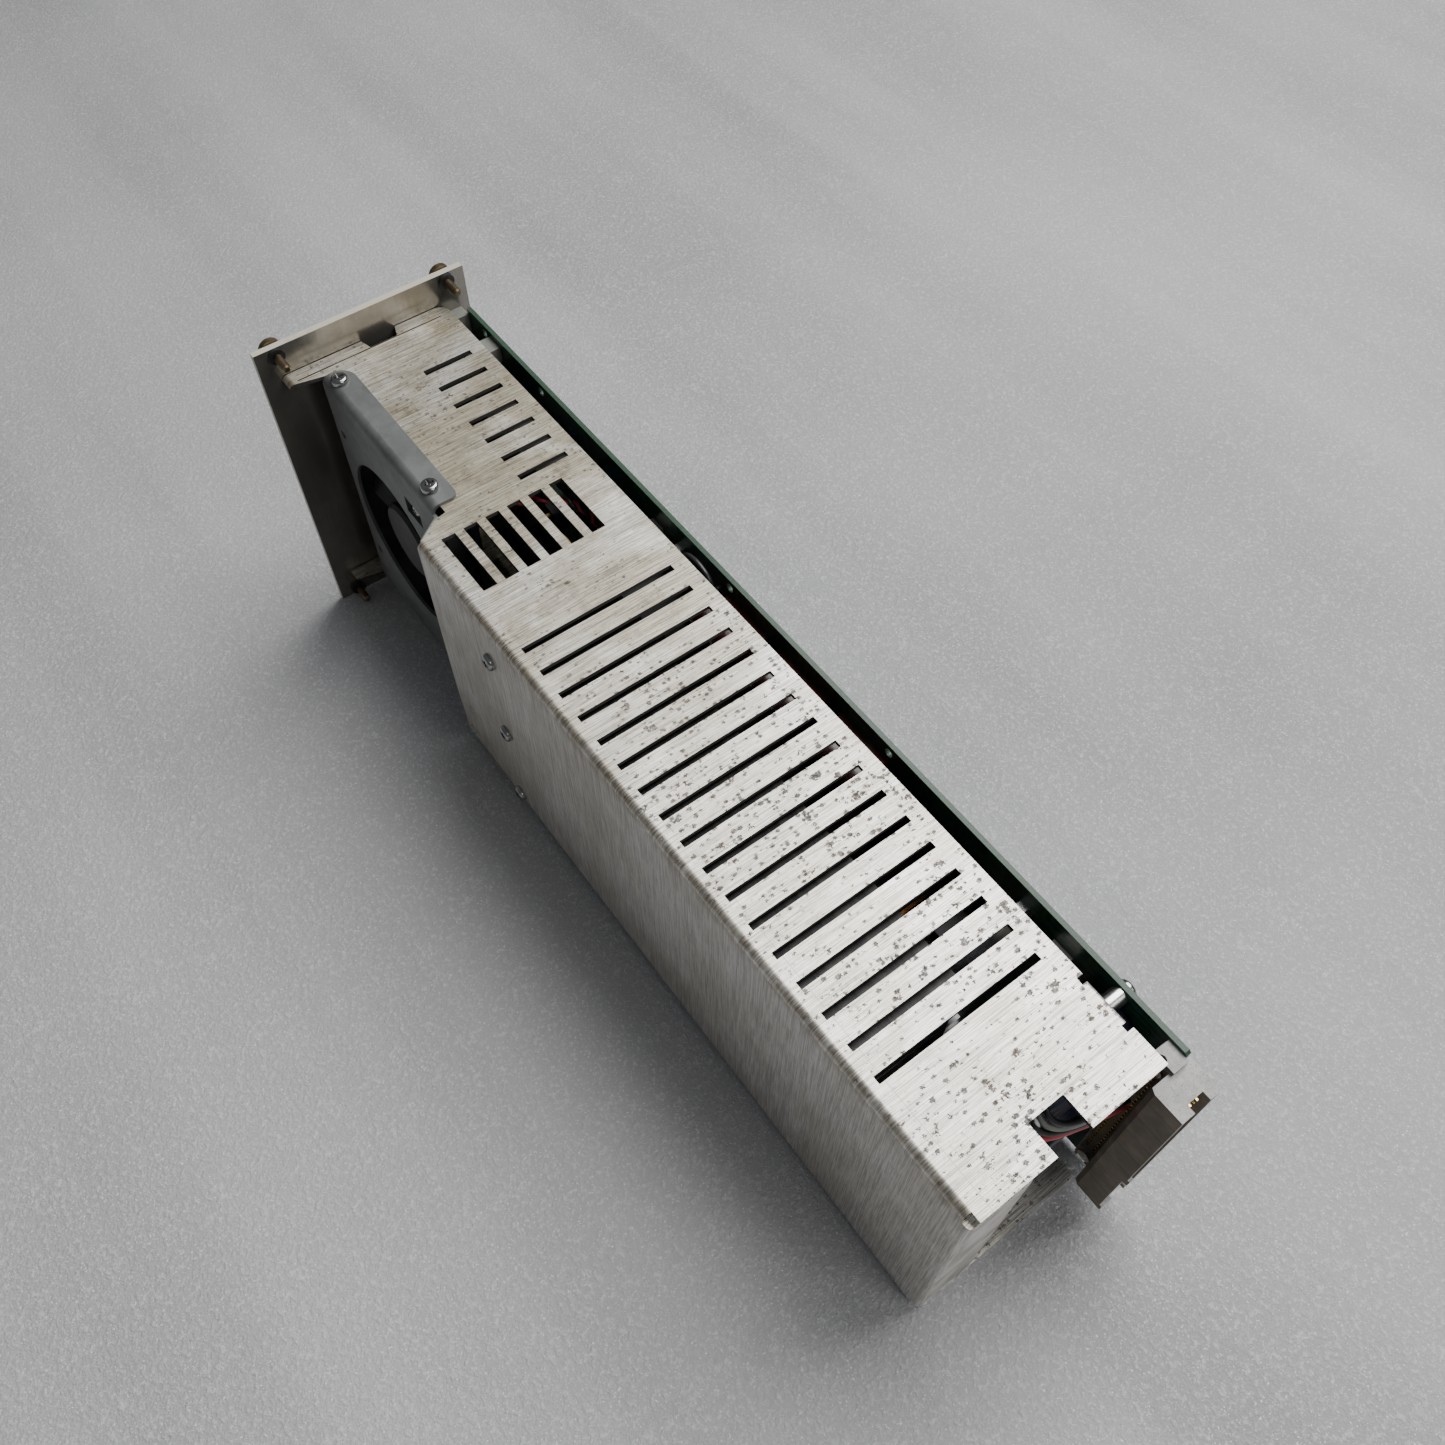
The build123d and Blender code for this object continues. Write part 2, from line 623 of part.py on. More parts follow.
def fan_blade_plane(angle, radius, twist):
    """Plane across one blade: normal along the radius, local x along the chord."""
    outward = Vector(0, cos(radians(angle)), sin(radians(angle)))
    around = Vector(0, -sin(radians(angle)), cos(radians(angle)))
    chord = around * cos(radians(twist)) + Vector(1, 0, 0) * sin(radians(twist))
    middle = Vector((HUB_FRONT_X + FAN_BACK_X + MOTOR_BASE_T) / 2, FAN_Y, MID_Z)
    return Plane(origin=middle + outward * radius, x_dir=chord, z_dir=outward)


with BuildPart() as fan_rotor:
    with BuildSketch(Plane.YZ.offset(HUB_FRONT_X)):
        with Locations((FAN_Y, MID_Z)):
            Circle(FAN_HUB_R)
    extrude(amount=-HUB_DEPTH)
    chamfer(fan_rotor.edges().sort_by(Axis.X)[-1], 1.2)
    for k in range(FAN_BLADES):
        angle = 360 / FAN_BLADES * k
        with BuildSketch(fan_blade_plane(angle, FAN_HUB_R - 1.0, 38)):
            Rectangle(11.0, 1.4)
        with BuildSketch(fan_blade_plane(angle + 14, FAN_DUCT_R, 24)):
            Rectangle(17.0, 1.1)
        loft()
    with BuildSketch(Plane.YZ.offset(HUB_FRONT_X)):
        with Locations((FAN_Y, MID_Z)):
            Circle(FAN_DUCT_R - 1.1)
    extrude(amount=-FAN_DEPTH, mode=Mode.INTERSECT)
    with BuildSketch(Plane.YZ.offset(HUB_FRONT_X - 1.4)):
        with Locations((FAN_Y, MID_Z)):
            Circle(CUP_R)
    extrude(amount=-FAN_DEPTH, mode=Mode.SUBTRACT)
    with BuildSketch(Plane.YZ.offset(HUB_FRONT_X - 1.4)):
        with Locations((FAN_Y, MID_Z)):
            Circle(FAN_SHAFT_R)
    extrude(amount=-(FAN_DEPTH - 3.0))
write(fan_rotor.part, "fan_rotor")

fan_screws = [
    pan_head_screw_x(FAN_BACK_X, y, z, 2.6, 1.8, FAN_SCREW_R, FAN_DEPTH + BRACKET_T - 0.2, out=-1)
    for y, z in FAN_CORNERS
]
group(fan_screws, "fan_screws")

# ================================================================ main circuit board
BOARD_HOLE_R = 1.6
FRONT_BLOCK_Y = 23.4
FRONT_BLOCK_DROP = 8.0
BLOCK_PEG_R = 1.5
FREE_HOLE_YS = (16.2, 54.0, 163.3, 238.9)
STANDOFF_ZS = (CASE_TOP - STANDOFF_DROP, CASE_BOTTOM + STANDOFF_DROP)
BLOCK_ZS = (CASE_TOP - FRONT_BLOCK_DROP, CASE_BOTTOM + FRONT_BLOCK_DROP)
RIVET_Y = 348.4
RIVET_ZS = (
    CASE_TOP - CONN_TOP_DROP - 3.6,
    CASE_TOP - CONN_TOP_DROP - CONN_L + 3.6,
)

with BuildPart() as main_board:
    with BuildSketch(Plane.YZ.offset(BOARD_OUTER_X)):
        with Locations((back((BOARD_FRONT + BOARD_REAR) / 2), MID_Z)):
            Rectangle(BOARD_REAR - BOARD_FRONT, BOARD_H)
        with Locations(*[(back(TAB_Y), z) for z in STANDOFF_ZS]):
            Circle(BOARD_HOLE_R, mode=Mode.SUBTRACT)
        with Locations(*[(back(FRONT_BLOCK_Y), z) for z in BLOCK_ZS]):
            Circle(BOARD_HOLE_R, mode=Mode.SUBTRACT)
        with Locations(*[(back(y), z) for y in FREE_HOLE_YS for z in STANDOFF_ZS]):
            Circle(BOARD_HOLE_R, mode=Mode.SUBTRACT)
        with Locations(*[(back(RIVET_Y), z) for z in RIVET_ZS]):
            Circle(1.3, mode=Mode.SUBTRACT)
    extrude(amount=BOARD_T)
    chamfer(main_board.edges().filter_by(Axis.X).group_by(Axis.Y)[-1], 0.8)
write(main_board.part, "main_board")

with BuildPart() as board_standoffs:
    with BuildSketch(Plane.YZ.offset(BOARD_INNER_X)):
        with Locations(*[(back(TAB_Y), z) for z in STANDOFF_ZS]):
            Circle(2.75)
            Circle(1.45, mode=Mode.SUBTRACT)
    extrude(amount=BOARD_GAP)
    board_ends = board_standoffs.edges().filter_by(GeomType.CIRCLE).group_by(Axis.X)[0]
    chamfer(board_ends.sort_by(SortBy.LENGTH)[-2:], 0.3)
write(board_standoffs.part, "board_standoffs")

with BuildPart() as board_blocks:
    # two plastic spacers near the panel, each held by a peg in the board
    with BuildSketch(Plane.YZ.offset(BOARD_INNER_X)):
        with Locations(*[(back(FRONT_BLOCK_Y), z) for z in BLOCK_ZS]):
            Rectangle(7.4, 6.4)
    extrude(amount=BOARD_GAP - 0.8)
    with BuildSketch(Plane.YZ.offset(BOARD_INNER_X)):
        with Locations(*[(back(FRONT_BLOCK_Y), z) for z in BLOCK_ZS]):
            Circle(BLOCK_PEG_R)
    extrude(amount=-BOARD_T)
write(board_blocks.part, "board_blocks")

board_screws = [
    pan_head_screw_x(BOARD_OUTER_X, back(TAB_Y), z, 3.0, 1.7, 1.2, 6.5, out=-1)
    for z in STANDOFF_ZS
]
group(board_screws, "board_screws")

card_holders = [
    box(BOARD_INNER_X, BOARD_INNER_X + 5.6, PANEL_BACK, back(5.4), z - 4.0, z + 4.0)
    for z in (CASE_TOP - 8.2, CASE_BOTTOM + 8.2)
]
group(card_holders, "card_holders")

# ================================================================ rear connector
CONN_OUTER_X = BOARD_OUTER_X - 0.7
CONN_INNER_X = CONN_OUTER_X + CONN_W
CONN_MID_X = (CONN_OUTER_X + CONN_INNER_X) / 2
CONN_TOP = CASE_TOP - CONN_TOP_DROP
CONN_MID_Z = CONN_TOP - CONN_L / 2
CONN_WALL = 2.1
CONN_FLOOR_Y = 354.0
KEY_W = 5.6
KEY_DEPTH = 2.6
EAR_RISE = 1.9
EAR_W = 5.5
FLANGE_T = 5.6
RECESS_HALF_L = CONN_L / 2 - 6.0
TAIL_X = BOARD_INNER_X + 3.2
CONTACT_XS = (CONN_MID_X - CONTACT_PITCH / 2, CONN_MID_X + CONTACT_PITCH / 2)
CONTACT_ZS = [
    CONN_MID_Z + CONTACT_PITCH * (k - (CONTACT_COUNT - 1) / 2) for k in range(CONTACT_COUNT)
]

with BuildPart() as rear_connector_body:
    with BuildSketch(Plane.XY.offset(CONN_MID_Z - CONN_L / 2)):
        with BuildLine():
            Polyline(
                (CONN_OUTER_X, back(CONN_FRONT)),
                (CONN_OUTER_X, back(CONN_REAR - 0.8)),
                (CONN_OUTER_X + 0.8, back(CONN_REAR)),
                (CONN_INNER_X, back(CONN_REAR)),
                (CONN_INNER_X, back(CONN_FRONT + 1.6)),
                (CONN_INNER_X - 0.8, back(CONN_FRONT)),
                close=True,
            )
        make_face()
    extrude(amount=CONN_L)
    # shroud cavity and the keying slot in each end wall
    with BuildSketch(facing_rear(back(CONN_REAR))):
        with Locations((CONN_MID_X, CONN_MID_Z)):
            Rectangle(CONN_W - 2 * CONN_WALL, CONN_L - 2 * CONN_WALL)
    extrude(amount=CONN_REAR - CONN_FLOOR_Y, mode=Mode.SUBTRACT)
    with BuildSketch(facing_rear(back(CONN_REAR))):
        with Locations((CONN_MID_X, CONN_MID_Z)):
            Rectangle(KEY_W, CONN_L + 1.0)
    extrude(amount=KEY_DEPTH, mode=Mode.SUBTRACT)
    # shallow step along the outer wall and notches in the inner one
    with BuildSketch(Plane.XY.offset(CONN_TOP)):
        with Locations((CONN_OUTER_X + 2.1, back(CONN_FRONT + 4.4))):
            Rectangle(4.2, 9.0)
    extrude(amount=-0.7, mode=Mode.SUBTRACT)
    with BuildSketch(facing_rear(back(CONN_REAR))):
        with Locations((CONN_INNER_X, CONN_MID_Z - 26.0)):
            Rectangle(4.4, 26.0)
    extrude(amount=0.8, mode=Mode.SUBTRACT)
    with BuildSketch(facing_rear(back(CONN_REAR))):
        with Locations((CONN_INNER_X - 1.0, CONN_MID_Z - 11.5)):
            Rectangle(1.6, 3.2)
    extrude(amount=-CONN_LUG)
    # flange against the board, with an ear at each end
    with BuildSketch(Plane.YZ.offset(BOARD_INNER_X)):
        with Locations((back((CONN_FRONT + 345.2) / 2), CONN_MID_Z)):
            Rectangle(CONN_FRONT - 345.2, CONN_L)
        with Locations(*[(back(RIVET_Y), z) for z in RIVET_ZS]):
            Circle(1.3, mode=Mode.SUBTRACT)
    extrude(amount=FLANGE_T)
    with BuildSketch(Plane.YZ.offset(BOARD_INNER_X + FLANGE_T)):
        with Locations((back(CONN_FRONT - 2.9), CONN_MID_Z)):
            Rectangle(5.8, 2 * RECESS_HALF_L)
    extrude(amount=TAIL_X - BOARD_INNER_X - FLANGE_T, mode=Mode.SUBTRACT)
    # raised ear at each end of the flange, hollowed towards the case
    for z0 in (CONN_TOP, CONN_TOP - CONN_L - EAR_RISE):
        with BuildSketch(Plane.XY.offset(z0)):
            with Locations((BOARD_INNER_X + EAR_W / 2, back(348.9))):
                Rectangle(EAR_W, 6.8)
            with Locations((BOARD_INNER_X + EAR_W, back(348.0))):
                Circle(1.5, mode=Mode.SUBTRACT)
        extrude(amount=EAR_RISE)
write(rear_connector_body.part, "rear_connector_body")

contacts = []
for z in CONTACT_ZS:
    for row, x in enumerate(CONTACT_XS):
        contacts.append(
            box(x - 0.3, x + 0.3, back(CONN_FLOOR_Y), back(CONN_REAR - 1.9), z - 0.3, z + 0.3)
        )
        # solder tails show in the flange's recess, which stops short of the rivets
        if abs(z - CONN_MID_Z) < RECESS_HALF_L:
            tail_y = back(346.8 + CONTACT_PITCH * row)
            contacts.append(
                box(TAIL_X, TAIL_X + 1.1, tail_y - 0.3, tail_y + 0.3, z - 0.3, z + 0.3)
            )
group(contacts, "rear_connector_contacts")

rivets = [
    rod_x(BOARD_OUTER_X - 0.5, BOARD_INNER_X + FLANGE_T, back(RIVET_Y), z, 1.25)
    + rod_x(BOARD_INNER_X + FLANGE_T, BOARD_INNER_X + FLANGE_T + 0.7, back(RIVET_Y), z, 2.2)
    for z in RIVET_ZS
]
group(rivets, "connector_rivets")

# ================================================================ heatsink
SINK_BOTTOM = 16.0
SINK_TOP = 114.0
SINK_FACE_X = SINK_BASE_X + SINK_BASE_T
FIN_REACH = 31.6
FIN_FRONT = 142.0
FIN_PITCH = (SINK_TOP - SINK_BOTTOM - FIN_T) / (FIN_COUNT - 1)
POST_R = 3.3
POST_BORE = 6.4
SPACER_SPOTS = [(back(y), z) for y in (138.0, 296.0) for z in (SINK_BOTTOM + 8, SINK_TOP - 8)]
TRANSISTOR_YS = [back(150.0 + 25.0 * k) for k in range(6)]
TRANSISTOR_Z = 45.0
TRANSISTOR_T = 5.0
TRANSISTOR_HOLE_Z = TRANSISTOR_Z + 6.0

with BuildPart() as heatsink:
    with BuildSketch(facing_rear(back(SINK_FRONT))):
        with Locations((SINK_BASE_X + SINK_BASE_T / 2, (SINK_BOTTOM + SINK_TOP) / 2)):
            Rectangle(SINK_BASE_T, SINK_TOP - SINK_BOTTOM)
    extrude(amount=-(SINK_REAR - SINK_FRONT))
    with BuildSketch(facing_rear(back(FIN_FRONT))):
        with Locations(((SINK_FACE_X + FIN_REACH) / 2, (SINK_BOTTOM + SINK_TOP) / 2)):
            with GridLocations(0, FIN_PITCH, 1, FIN_COUNT):
                Rectangle(FIN_REACH - SINK_FACE_X, FIN_T)
    extrude(amount=-(SINK_REAR - FIN_FRONT))
    with BuildSketch(Plane.YZ.offset(SINK_BASE_X)):
        with Locations(*[(y, TRANSISTOR_HOLE_Z) for y in TRANSISTOR_YS]):
            Circle(1.4)
    extrude(amount=4.0, mode=Mode.SUBTRACT)
write(heatsink.part, "heatsink")

with BuildPart() as heatsink_posts:
    with BuildSketch(Plane.YZ.offset(SINK_FACE_X)):
        with Locations(*[(back(SIDE_SCREW_Y), z) for z in SIDE_SCREW_ZS]):
            Circle(POST_R)
    extrude(amount=INNER_SIDE - SINK_FACE_X)
    with BuildSketch(Plane.YZ.offset(INNER_SIDE)):
        with Locations(*[(back(SIDE_SCREW_Y), z) for z in SIDE_SCREW_ZS]):
            Circle(SIDE_HOLE_R - 0.1)
    extrude(amount=-POST_BORE, mode=Mode.SUBTRACT)
write(heatsink_posts.part, "heatsink_posts")

with BuildPart() as heatsink_spacers:
    with BuildSketch(Plane.YZ.offset(BOARD_INNER_X)):
        with Locations(*SPACER_SPOTS):
            RegularPolygon(3.2, 6)
    extrude(amount=SINK_BASE_X - BOARD_INNER_X)
write(heatsink_spacers.part, "heatsink_spacers")

side_screws = [
    pan_head_screw_x(SIDE_X, back(SIDE_SCREW_Y), z, 3.0, 2.0, SIDE_HOLE_R - 0.1, SHEET + 6.0)
    for z in SIDE_SCREW_ZS
]
group(side_screws, "side_screws")

side_rivets = [
    rod_x(SIDE_X, SIDE_X + 0.6, back(y), z, 1.9)
    + rod_x(INNER_SIDE - 1.5, SIDE_X, back(y), z, SIDE_RIVET_R)
    for y, z in SIDE_RIVETS
]
group(side_rivets, "side_rivets")

# ================================================================ power electronics
LEG_Z = TRANSISTOR_Z - 15.0
LEG_X = SINK_BASE_X - 2.5


def power_transistor(y):
    """Flat plastic package against the heatsink, with three legs bent to the board."""
    with BuildPart() as package:
        with BuildSketch(Plane.YZ.offset(SINK_BASE_X)):
            with Locations((y, TRANSISTOR_Z)):
                Rectangle(15.8, 20.8)
            with Locations((y, TRANSISTOR_HOLE_Z)):
                Circle(1.4, mode=Mode.SUBTRACT)
        extrude(amount=-TRANSISTOR_T)
        chamfer(package.faces().sort_by(Axis.X)[0].outer_wire().edges(), 0.5)
        for side in (-1, 0, 1):
            with BuildSketch(Plane.XZ.offset(-(y + side * 5.45))):
                with BuildLine():
                    Polyline(
                        (LEG_X, TRANSISTOR_Z - 10.0),
                        (LEG_X, LEG_Z),
                        (BOARD_INNER_X, LEG_Z),
                        (BOARD_INNER_X, LEG_Z + 0.7),
                        (LEG_X - 0.7, LEG_Z + 0.7),
                        (LEG_X - 0.7, TRANSISTOR_Z - 10.0),
                        close=True,
                    )
                make_face()
            extrude(amount=0.6, both=True)
    return package.part


group([power_transistor(y) for y in TRANSISTOR_YS], "power_transistors")

transistor_screws = [
    pan_head_screw_x(
        SINK_BASE_X - TRANSISTOR_T, y, TRANSISTOR_HOLE_Z, 2.8, 1.9, 1.4, TRANSISTOR_T + 3.8, out=-1
    )
    for y in TRANSISTOR_YS
]
group(transistor_screws, "transistor_screws")

CAPACITOR_R = 11.0
CAPACITOR_L = 37.0
CAPACITOR_SPOTS = [(back(330.5), z) for z in (MID_Z + 31.0, MID_Z + 2.0, MID_Z - 27.0)]

with BuildPart() as bulk_capacitors:
    with BuildSketch(Plane.YZ.offset(BOARD_INNER_X)):
        with Locations(*CAPACITOR_SPOTS):
            Circle(CAPACITOR_R)
    extrude(amount=CAPACITOR_L)
    fillet(bulk_capacitors.edges().filter_by(GeomType.CIRCLE), 1.0)
    with BuildSketch(Plane.YZ.offset(BOARD_INNER_X + 3.5)):
        with Locations(*CAPACITOR_SPOTS):
            Circle(CAPACITOR_R + 1.0)
            Circle(CAPACITOR_R - 0.7, mode=Mode.SUBTRACT)
    extrude(amount=1.8, mode=Mode.SUBTRACT)
    with BuildSketch(Plane.YZ.offset(BOARD_INNER_X + CAPACITOR_L)):
        with Locations(*CAPACITOR_SPOTS):
            Circle(CAPACITOR_R - 1.9)
            Circle(CAPACITOR_R - 2.7, mode=Mode.SUBTRACT)
    extrude(amount=-0.5, mode=Mode.SUBTRACT)
write(bulk_capacitors.part, "bulk_capacitors")

with BuildPart() as film_capacitors:
    with BuildSketch(Plane.YZ.offset(BOARD_INNER_X)):
        with Locations((back(201.0), CASE_TOP - 15.0)):
            with GridLocations(28.0, 0, 3, 1):
                Rectangle(22.0, 12.0)
    extrude(amount=16.0)
    fillet(film_capacitors.edges().filter_by(Axis.X), 1.2)
write(film_capacitors.part, "film_capacitors")

with BuildPart() as relays:
    with BuildSketch(Plane.YZ.offset(BOARD_INNER_X)):
        with Locations((back(116.0), MID_Z - 13.0)):
            with GridLocations(0, 23.0, 1, 2):
                Rectangle(15.5, 20.0)
    extrude(amount=15.5)
    fillet(relays.edges().group_by(Axis.X)[-1], 0.8)
write(relays.part, "relays")

TRANSFORMER_Y = back(138.0)
TRANSFORMER_Z = MID_Z + 12.0

with BuildPart() as transformer:
    with BuildSketch(Plane.YZ.offset(BOARD_INNER_X)):
        with Locations((TRANSFORMER_Y, TRANSFORMER_Z)):
            Rectangle(24.0, 22.0)
    extrude(amount=4.0)
    with BuildSketch(Plane.YZ.offset(BOARD_INNER_X + 4.0)):
        with Locations((TRANSFORMER_Y, TRANSFORMER_Z)):
            Rectangle(22.0, 26.0)
    extrude(amount=16.0)
    with BuildSketch(Plane.YZ.offset(BOARD_INNER_X + 8.0)):
        with Locations((TRANSFORMER_Y, TRANSFORMER_Z)):
            RectangleRounded(25.0, 18.0, 4.0)
    extrude(amount=8.0)
write(transformer.part, "transformer")

CHOKE_Y = back(282.0)
CHOKE_Z = MID_Z + 4.0
CHOKE_X = BOARD_INNER_X + 9.0
CHOKE_R = 14.0
CHOKE_BORE = 8.0
CHOKE_H = 11.0
CHOKE_TURNS = 18
COIL_WIRE = 1.2

with BuildPart() as choke_core:
    with BuildSketch(Plane.YZ.offset(CHOKE_X - CHOKE_H / 2)):
        with Locations((CHOKE_Y, CHOKE_Z)):
            Circle(CHOKE_R)
            Circle(CHOKE_BORE, mode=Mode.SUBTRACT)
    extrude(amount=CHOKE_H)
write(choke_core.part, "choke_core")


def coil_turn(angle):
    """One square turn of wire round the core's section, at this angle about X."""
    outward = Vector(0, cos(radians(angle)), sin(radians(angle)))
    around = Vector(0, -sin(radians(angle)), cos(radians(angle)))
    middle = Vector(CHOKE_X, CHOKE_Y, CHOKE_Z) + outward * (CHOKE_R + CHOKE_BORE) / 2
    with BuildPart() as turn:
        with BuildSketch(Plane(origin=middle, x_dir=outward, z_dir=around)):
            RectangleRounded(CHOKE_R - CHOKE_BORE + 2 * COIL_WIRE, CHOKE_H + 2 * COIL_WIRE, 1.0)
            Rectangle(CHOKE_R - CHOKE_BORE + 0.1, CHOKE_H + 0.1, mode=Mode.SUBTRACT)
        extrude(amount=COIL_WIRE / 2, both=True)
    return turn.part


coil = [coil_turn(360 / CHOKE_TURNS * k) for k in range(CHOKE_TURNS)]
coil += [
    rod_x(BOARD_INNER_X, CHOKE_X - CHOKE_H / 2 - COIL_WIRE, CHOKE_Y + side * 11.0, CHOKE_Z, 0.6)
    for side in (-1, 1)
]
group(coil, "choke_winding")

with BuildPart() as fuses:
    for z in (MID_Z + 30.0, MID_Z + 4.0):
        with BuildSketch(Plane.YZ.offset(BOARD_INNER_X)):
            with Locations((back(311.0), z)):
                Rectangle(7.0, 22.0)
        extrude(amount=3.0)
        with BuildSketch(Plane.XY.offset(z - 10.0)):
            with Locations((BOARD_INNER_X + 4.5, back(311.0))):
                Circle(2.6)
        extrude(amount=20.0)
write(fuses.part, "fuses")

driver_ics = [
    box(BOARD_INNER_X, BOARD_INNER_X + 2.4, back(y), back(y + 10.0), z, z + 7.0)
    for y, z in ((40, 58), (62, 46), (78, 76), (170, 62), (205, 62), (240, 62))
]
group(driver_ics, "driver_ics")

# ================================================================ control board
CONTROL_BOARD_X = -18.0
CONTROL_FRONT = 28.0
CONTROL_REAR = 104.0
CONTROL_H = 82.0
SENSOR_PLUG_X = CONTROL_BOARD_X + 5.0

with BuildPart() as control_board:
    with BuildSketch(Plane.YZ.offset(CONTROL_BOARD_X)):
        with Locations((back((CONTROL_FRONT + CONTROL_REAR) / 2), MID_Z)):
            Rectangle(CONTROL_REAR - CONTROL_FRONT, CONTROL_H)
    extrude(amount=-BOARD_T)
write(control_board.part, "control_board")

FRONT_BOARD_Y = 12.0
FRONT_BOARD_X = (-29.0, 4.0)
FRONT_BOARD_Z = (22.0, 108.0)
board_links = [
    box(BOARD_INNER_X, CONTROL_BOARD_X - BOARD_T, back(44), back(86), z - 2.5, z + 2.5)
    for z in (MID_Z + 35.0, MID_Z - 35.0)
]
board_links.append(box(BOARD_INNER_X, FRONT_BOARD_X[0], back(9.5), back(14), MID_Z - 25, MID_Z + 25))
board_links.append(
    box(CONTROL_BOARD_X, SENSOR_PLUG_X, back(92), back(98), MID_Z + 29.0, MID_Z + 38.0)
)
group(board_links, "board_connectors")

control_ics = [
    box(CONTROL_BOARD_X, CONTROL_BOARD_X + t, back(y), back(y + w), z, z + h)
    for y, z, w, h, t in (
        (44, 58, 20, 20, 1.6), (72, 62, 14, 10, 2.2), (72, 42, 12, 8, 2.2), (36, 88, 10, 8, 2.2),
        (52, 88, 12, 5, 3.5), (40, 34, 18, 8, 2.2), (90, 44, 8, 12, 2.4),
    )
]
group(control_ics, "control_ics")

# ================================================================ wires
WIRE_R = 0.6
PAIR_OFFSET = (1.1, 0.4, 1.5)


def wire(points, radius):
    """Round wire along a laid route, with each corner as round as its runs allow."""
    corners = [Vector(*point) for point in points]
    radii = []
    for before, here, after in zip(corners, corners[1:], corners[2:]):
        half_turn = radians((here - before).get_angle(after - here)) / 2
        shorter = min((here - before).length, (after - here).length)
        radii.append(0.45 * shorter / tan(half_turn))
    print("smallest bend radius", round(min(radii), 1))
    with BuildPart() as lead:
        with BuildLine() as route:
            FilletPolyline(*points, radius=radii)
        with BuildSketch(route.line ^ 0):
            Circle(radius)
        sweep()
    return lead.part


HEADER_X = BOARD_INNER_X + 7.0
HEADER_Y = 124.0
fan_lead_route = [
    (FAN_BACK_X, back(53.0), MID_Z + 9.0),
    (FAN_BACK_X - 4.0, back(53.0), MID_Z + 9.0),
    (FAN_BACK_X - 5.0, back(62.0), MID_Z + 18.0),
    (FAN_BACK_X - 5.5, back(74.0), MID_Z + 28.0),
    (FAN_BACK_X - 10.0, back(86.0), MID_Z + 38.0),
    (-9.0, back(93.5), MID_Z + 43.5),
    (-15.5, back(100.5), MID_Z + 45.5),
    (-19.0, back(108.0), MID_Z + 44.5),
    (-20.5, back(115.0), MID_Z + 42.0),
    (-23.5, back(121.0), MID_Z + 39.2),
    (HEADER_X + 3.5, back(HEADER_Y), MID_Z + 38.0),
    (HEADER_X, back(HEADER_Y), MID_Z + 38.0),
]
write(wire(fan_lead_route, WIRE_R), "fan_lead_red")
black_route = [tuple(Vector(*point) + Vector(*PAIR_OFFSET)) for point in fan_lead_route]
black_route[0] = (FAN_BACK_X, black_route[0][1], black_route[0][2])
black_route[-1] = (HEADER_X, black_route[-1][1], black_route[-1][2])
write(wire(black_route, WIRE_R), "fan_lead_black")

with BuildPart() as fan_header:
    with BuildSketch(Plane.YZ.offset(BOARD_INNER_X)):
        with Locations((back(HEADER_Y + 0.2), MID_Z + 38.6)):
            Rectangle(5.8, 6.0)
    extrude(amount=HEADER_X - BOARD_INNER_X)
write(fan_header.part, "fan_header")

sensor_route = [
    (SENSOR_PLUG_X, back(95.0), MID_Z + 36.0),
    (SENSOR_PLUG_X + 3.0, back(95.0), MID_Z + 36.0),
    (SENSOR_PLUG_X + 3.5, back(103.0), MID_Z + 38.5),
    (SENSOR_PLUG_X + 2.0, back(113.0), MID_Z + 38.0),
    (SINK_BASE_X + 2.5, back(SINK_FRONT - 7.0), MID_Z + 34.5),
    (SINK_BASE_X + 2.5, back(SINK_FRONT), MID_Z + 34.5),
]
write(wire(sensor_route, WIRE_R), "sensor_lead")

LOOP_X = (BOARD_INNER_X + OPEN_X) / 2
loop_route = [
    (BOARD_INNER_X, back(143.0), CASE_TOP - 9.0),
    (LOOP_X, back(143.0), CASE_TOP - 9.0),
    (LOOP_X + 0.3, back(145.0), CASE_TOP - 4.0),
    (LOOP_X + 0.3, back(151.0), CASE_TOP - 2.2),
    (LOOP_X + 0.3, back(157.0), CASE_TOP - 4.2),
    (LOOP_X, back(159.0), CASE_TOP - 9.0),
    (BOARD_INNER_X, back(159.0), CASE_TOP - 9.0),
]
write(wire(loop_route, 0.9), "board_jumper")

# ================================================================ parts of the front face
SHELL_WALL = 0.6
SHELL_W = 8.4
SHELL_TRIM = 13.9
PIN_PITCH = 2.77
ROW_GAP = 2.84


def d_outline(centre_z, length, width):
    """Closed D-shaped line in the X-Z sketch plane, wide side towards +X."""
    lean = width * 0.088
    with BuildLine() as outline:
        FilletPolyline(
            (DSUB_X - width / 2, centre_z - length / 2 + 2 * lean),
            (DSUB_X - width / 2, centre_z + length / 2 - 2 * lean),
            (DSUB_X + width / 2, centre_z + length / 2),
            (DSUB_X + width / 2, centre_z - length / 2),
            radius=2.0,
            close=True,
        )
    return outline.edges()


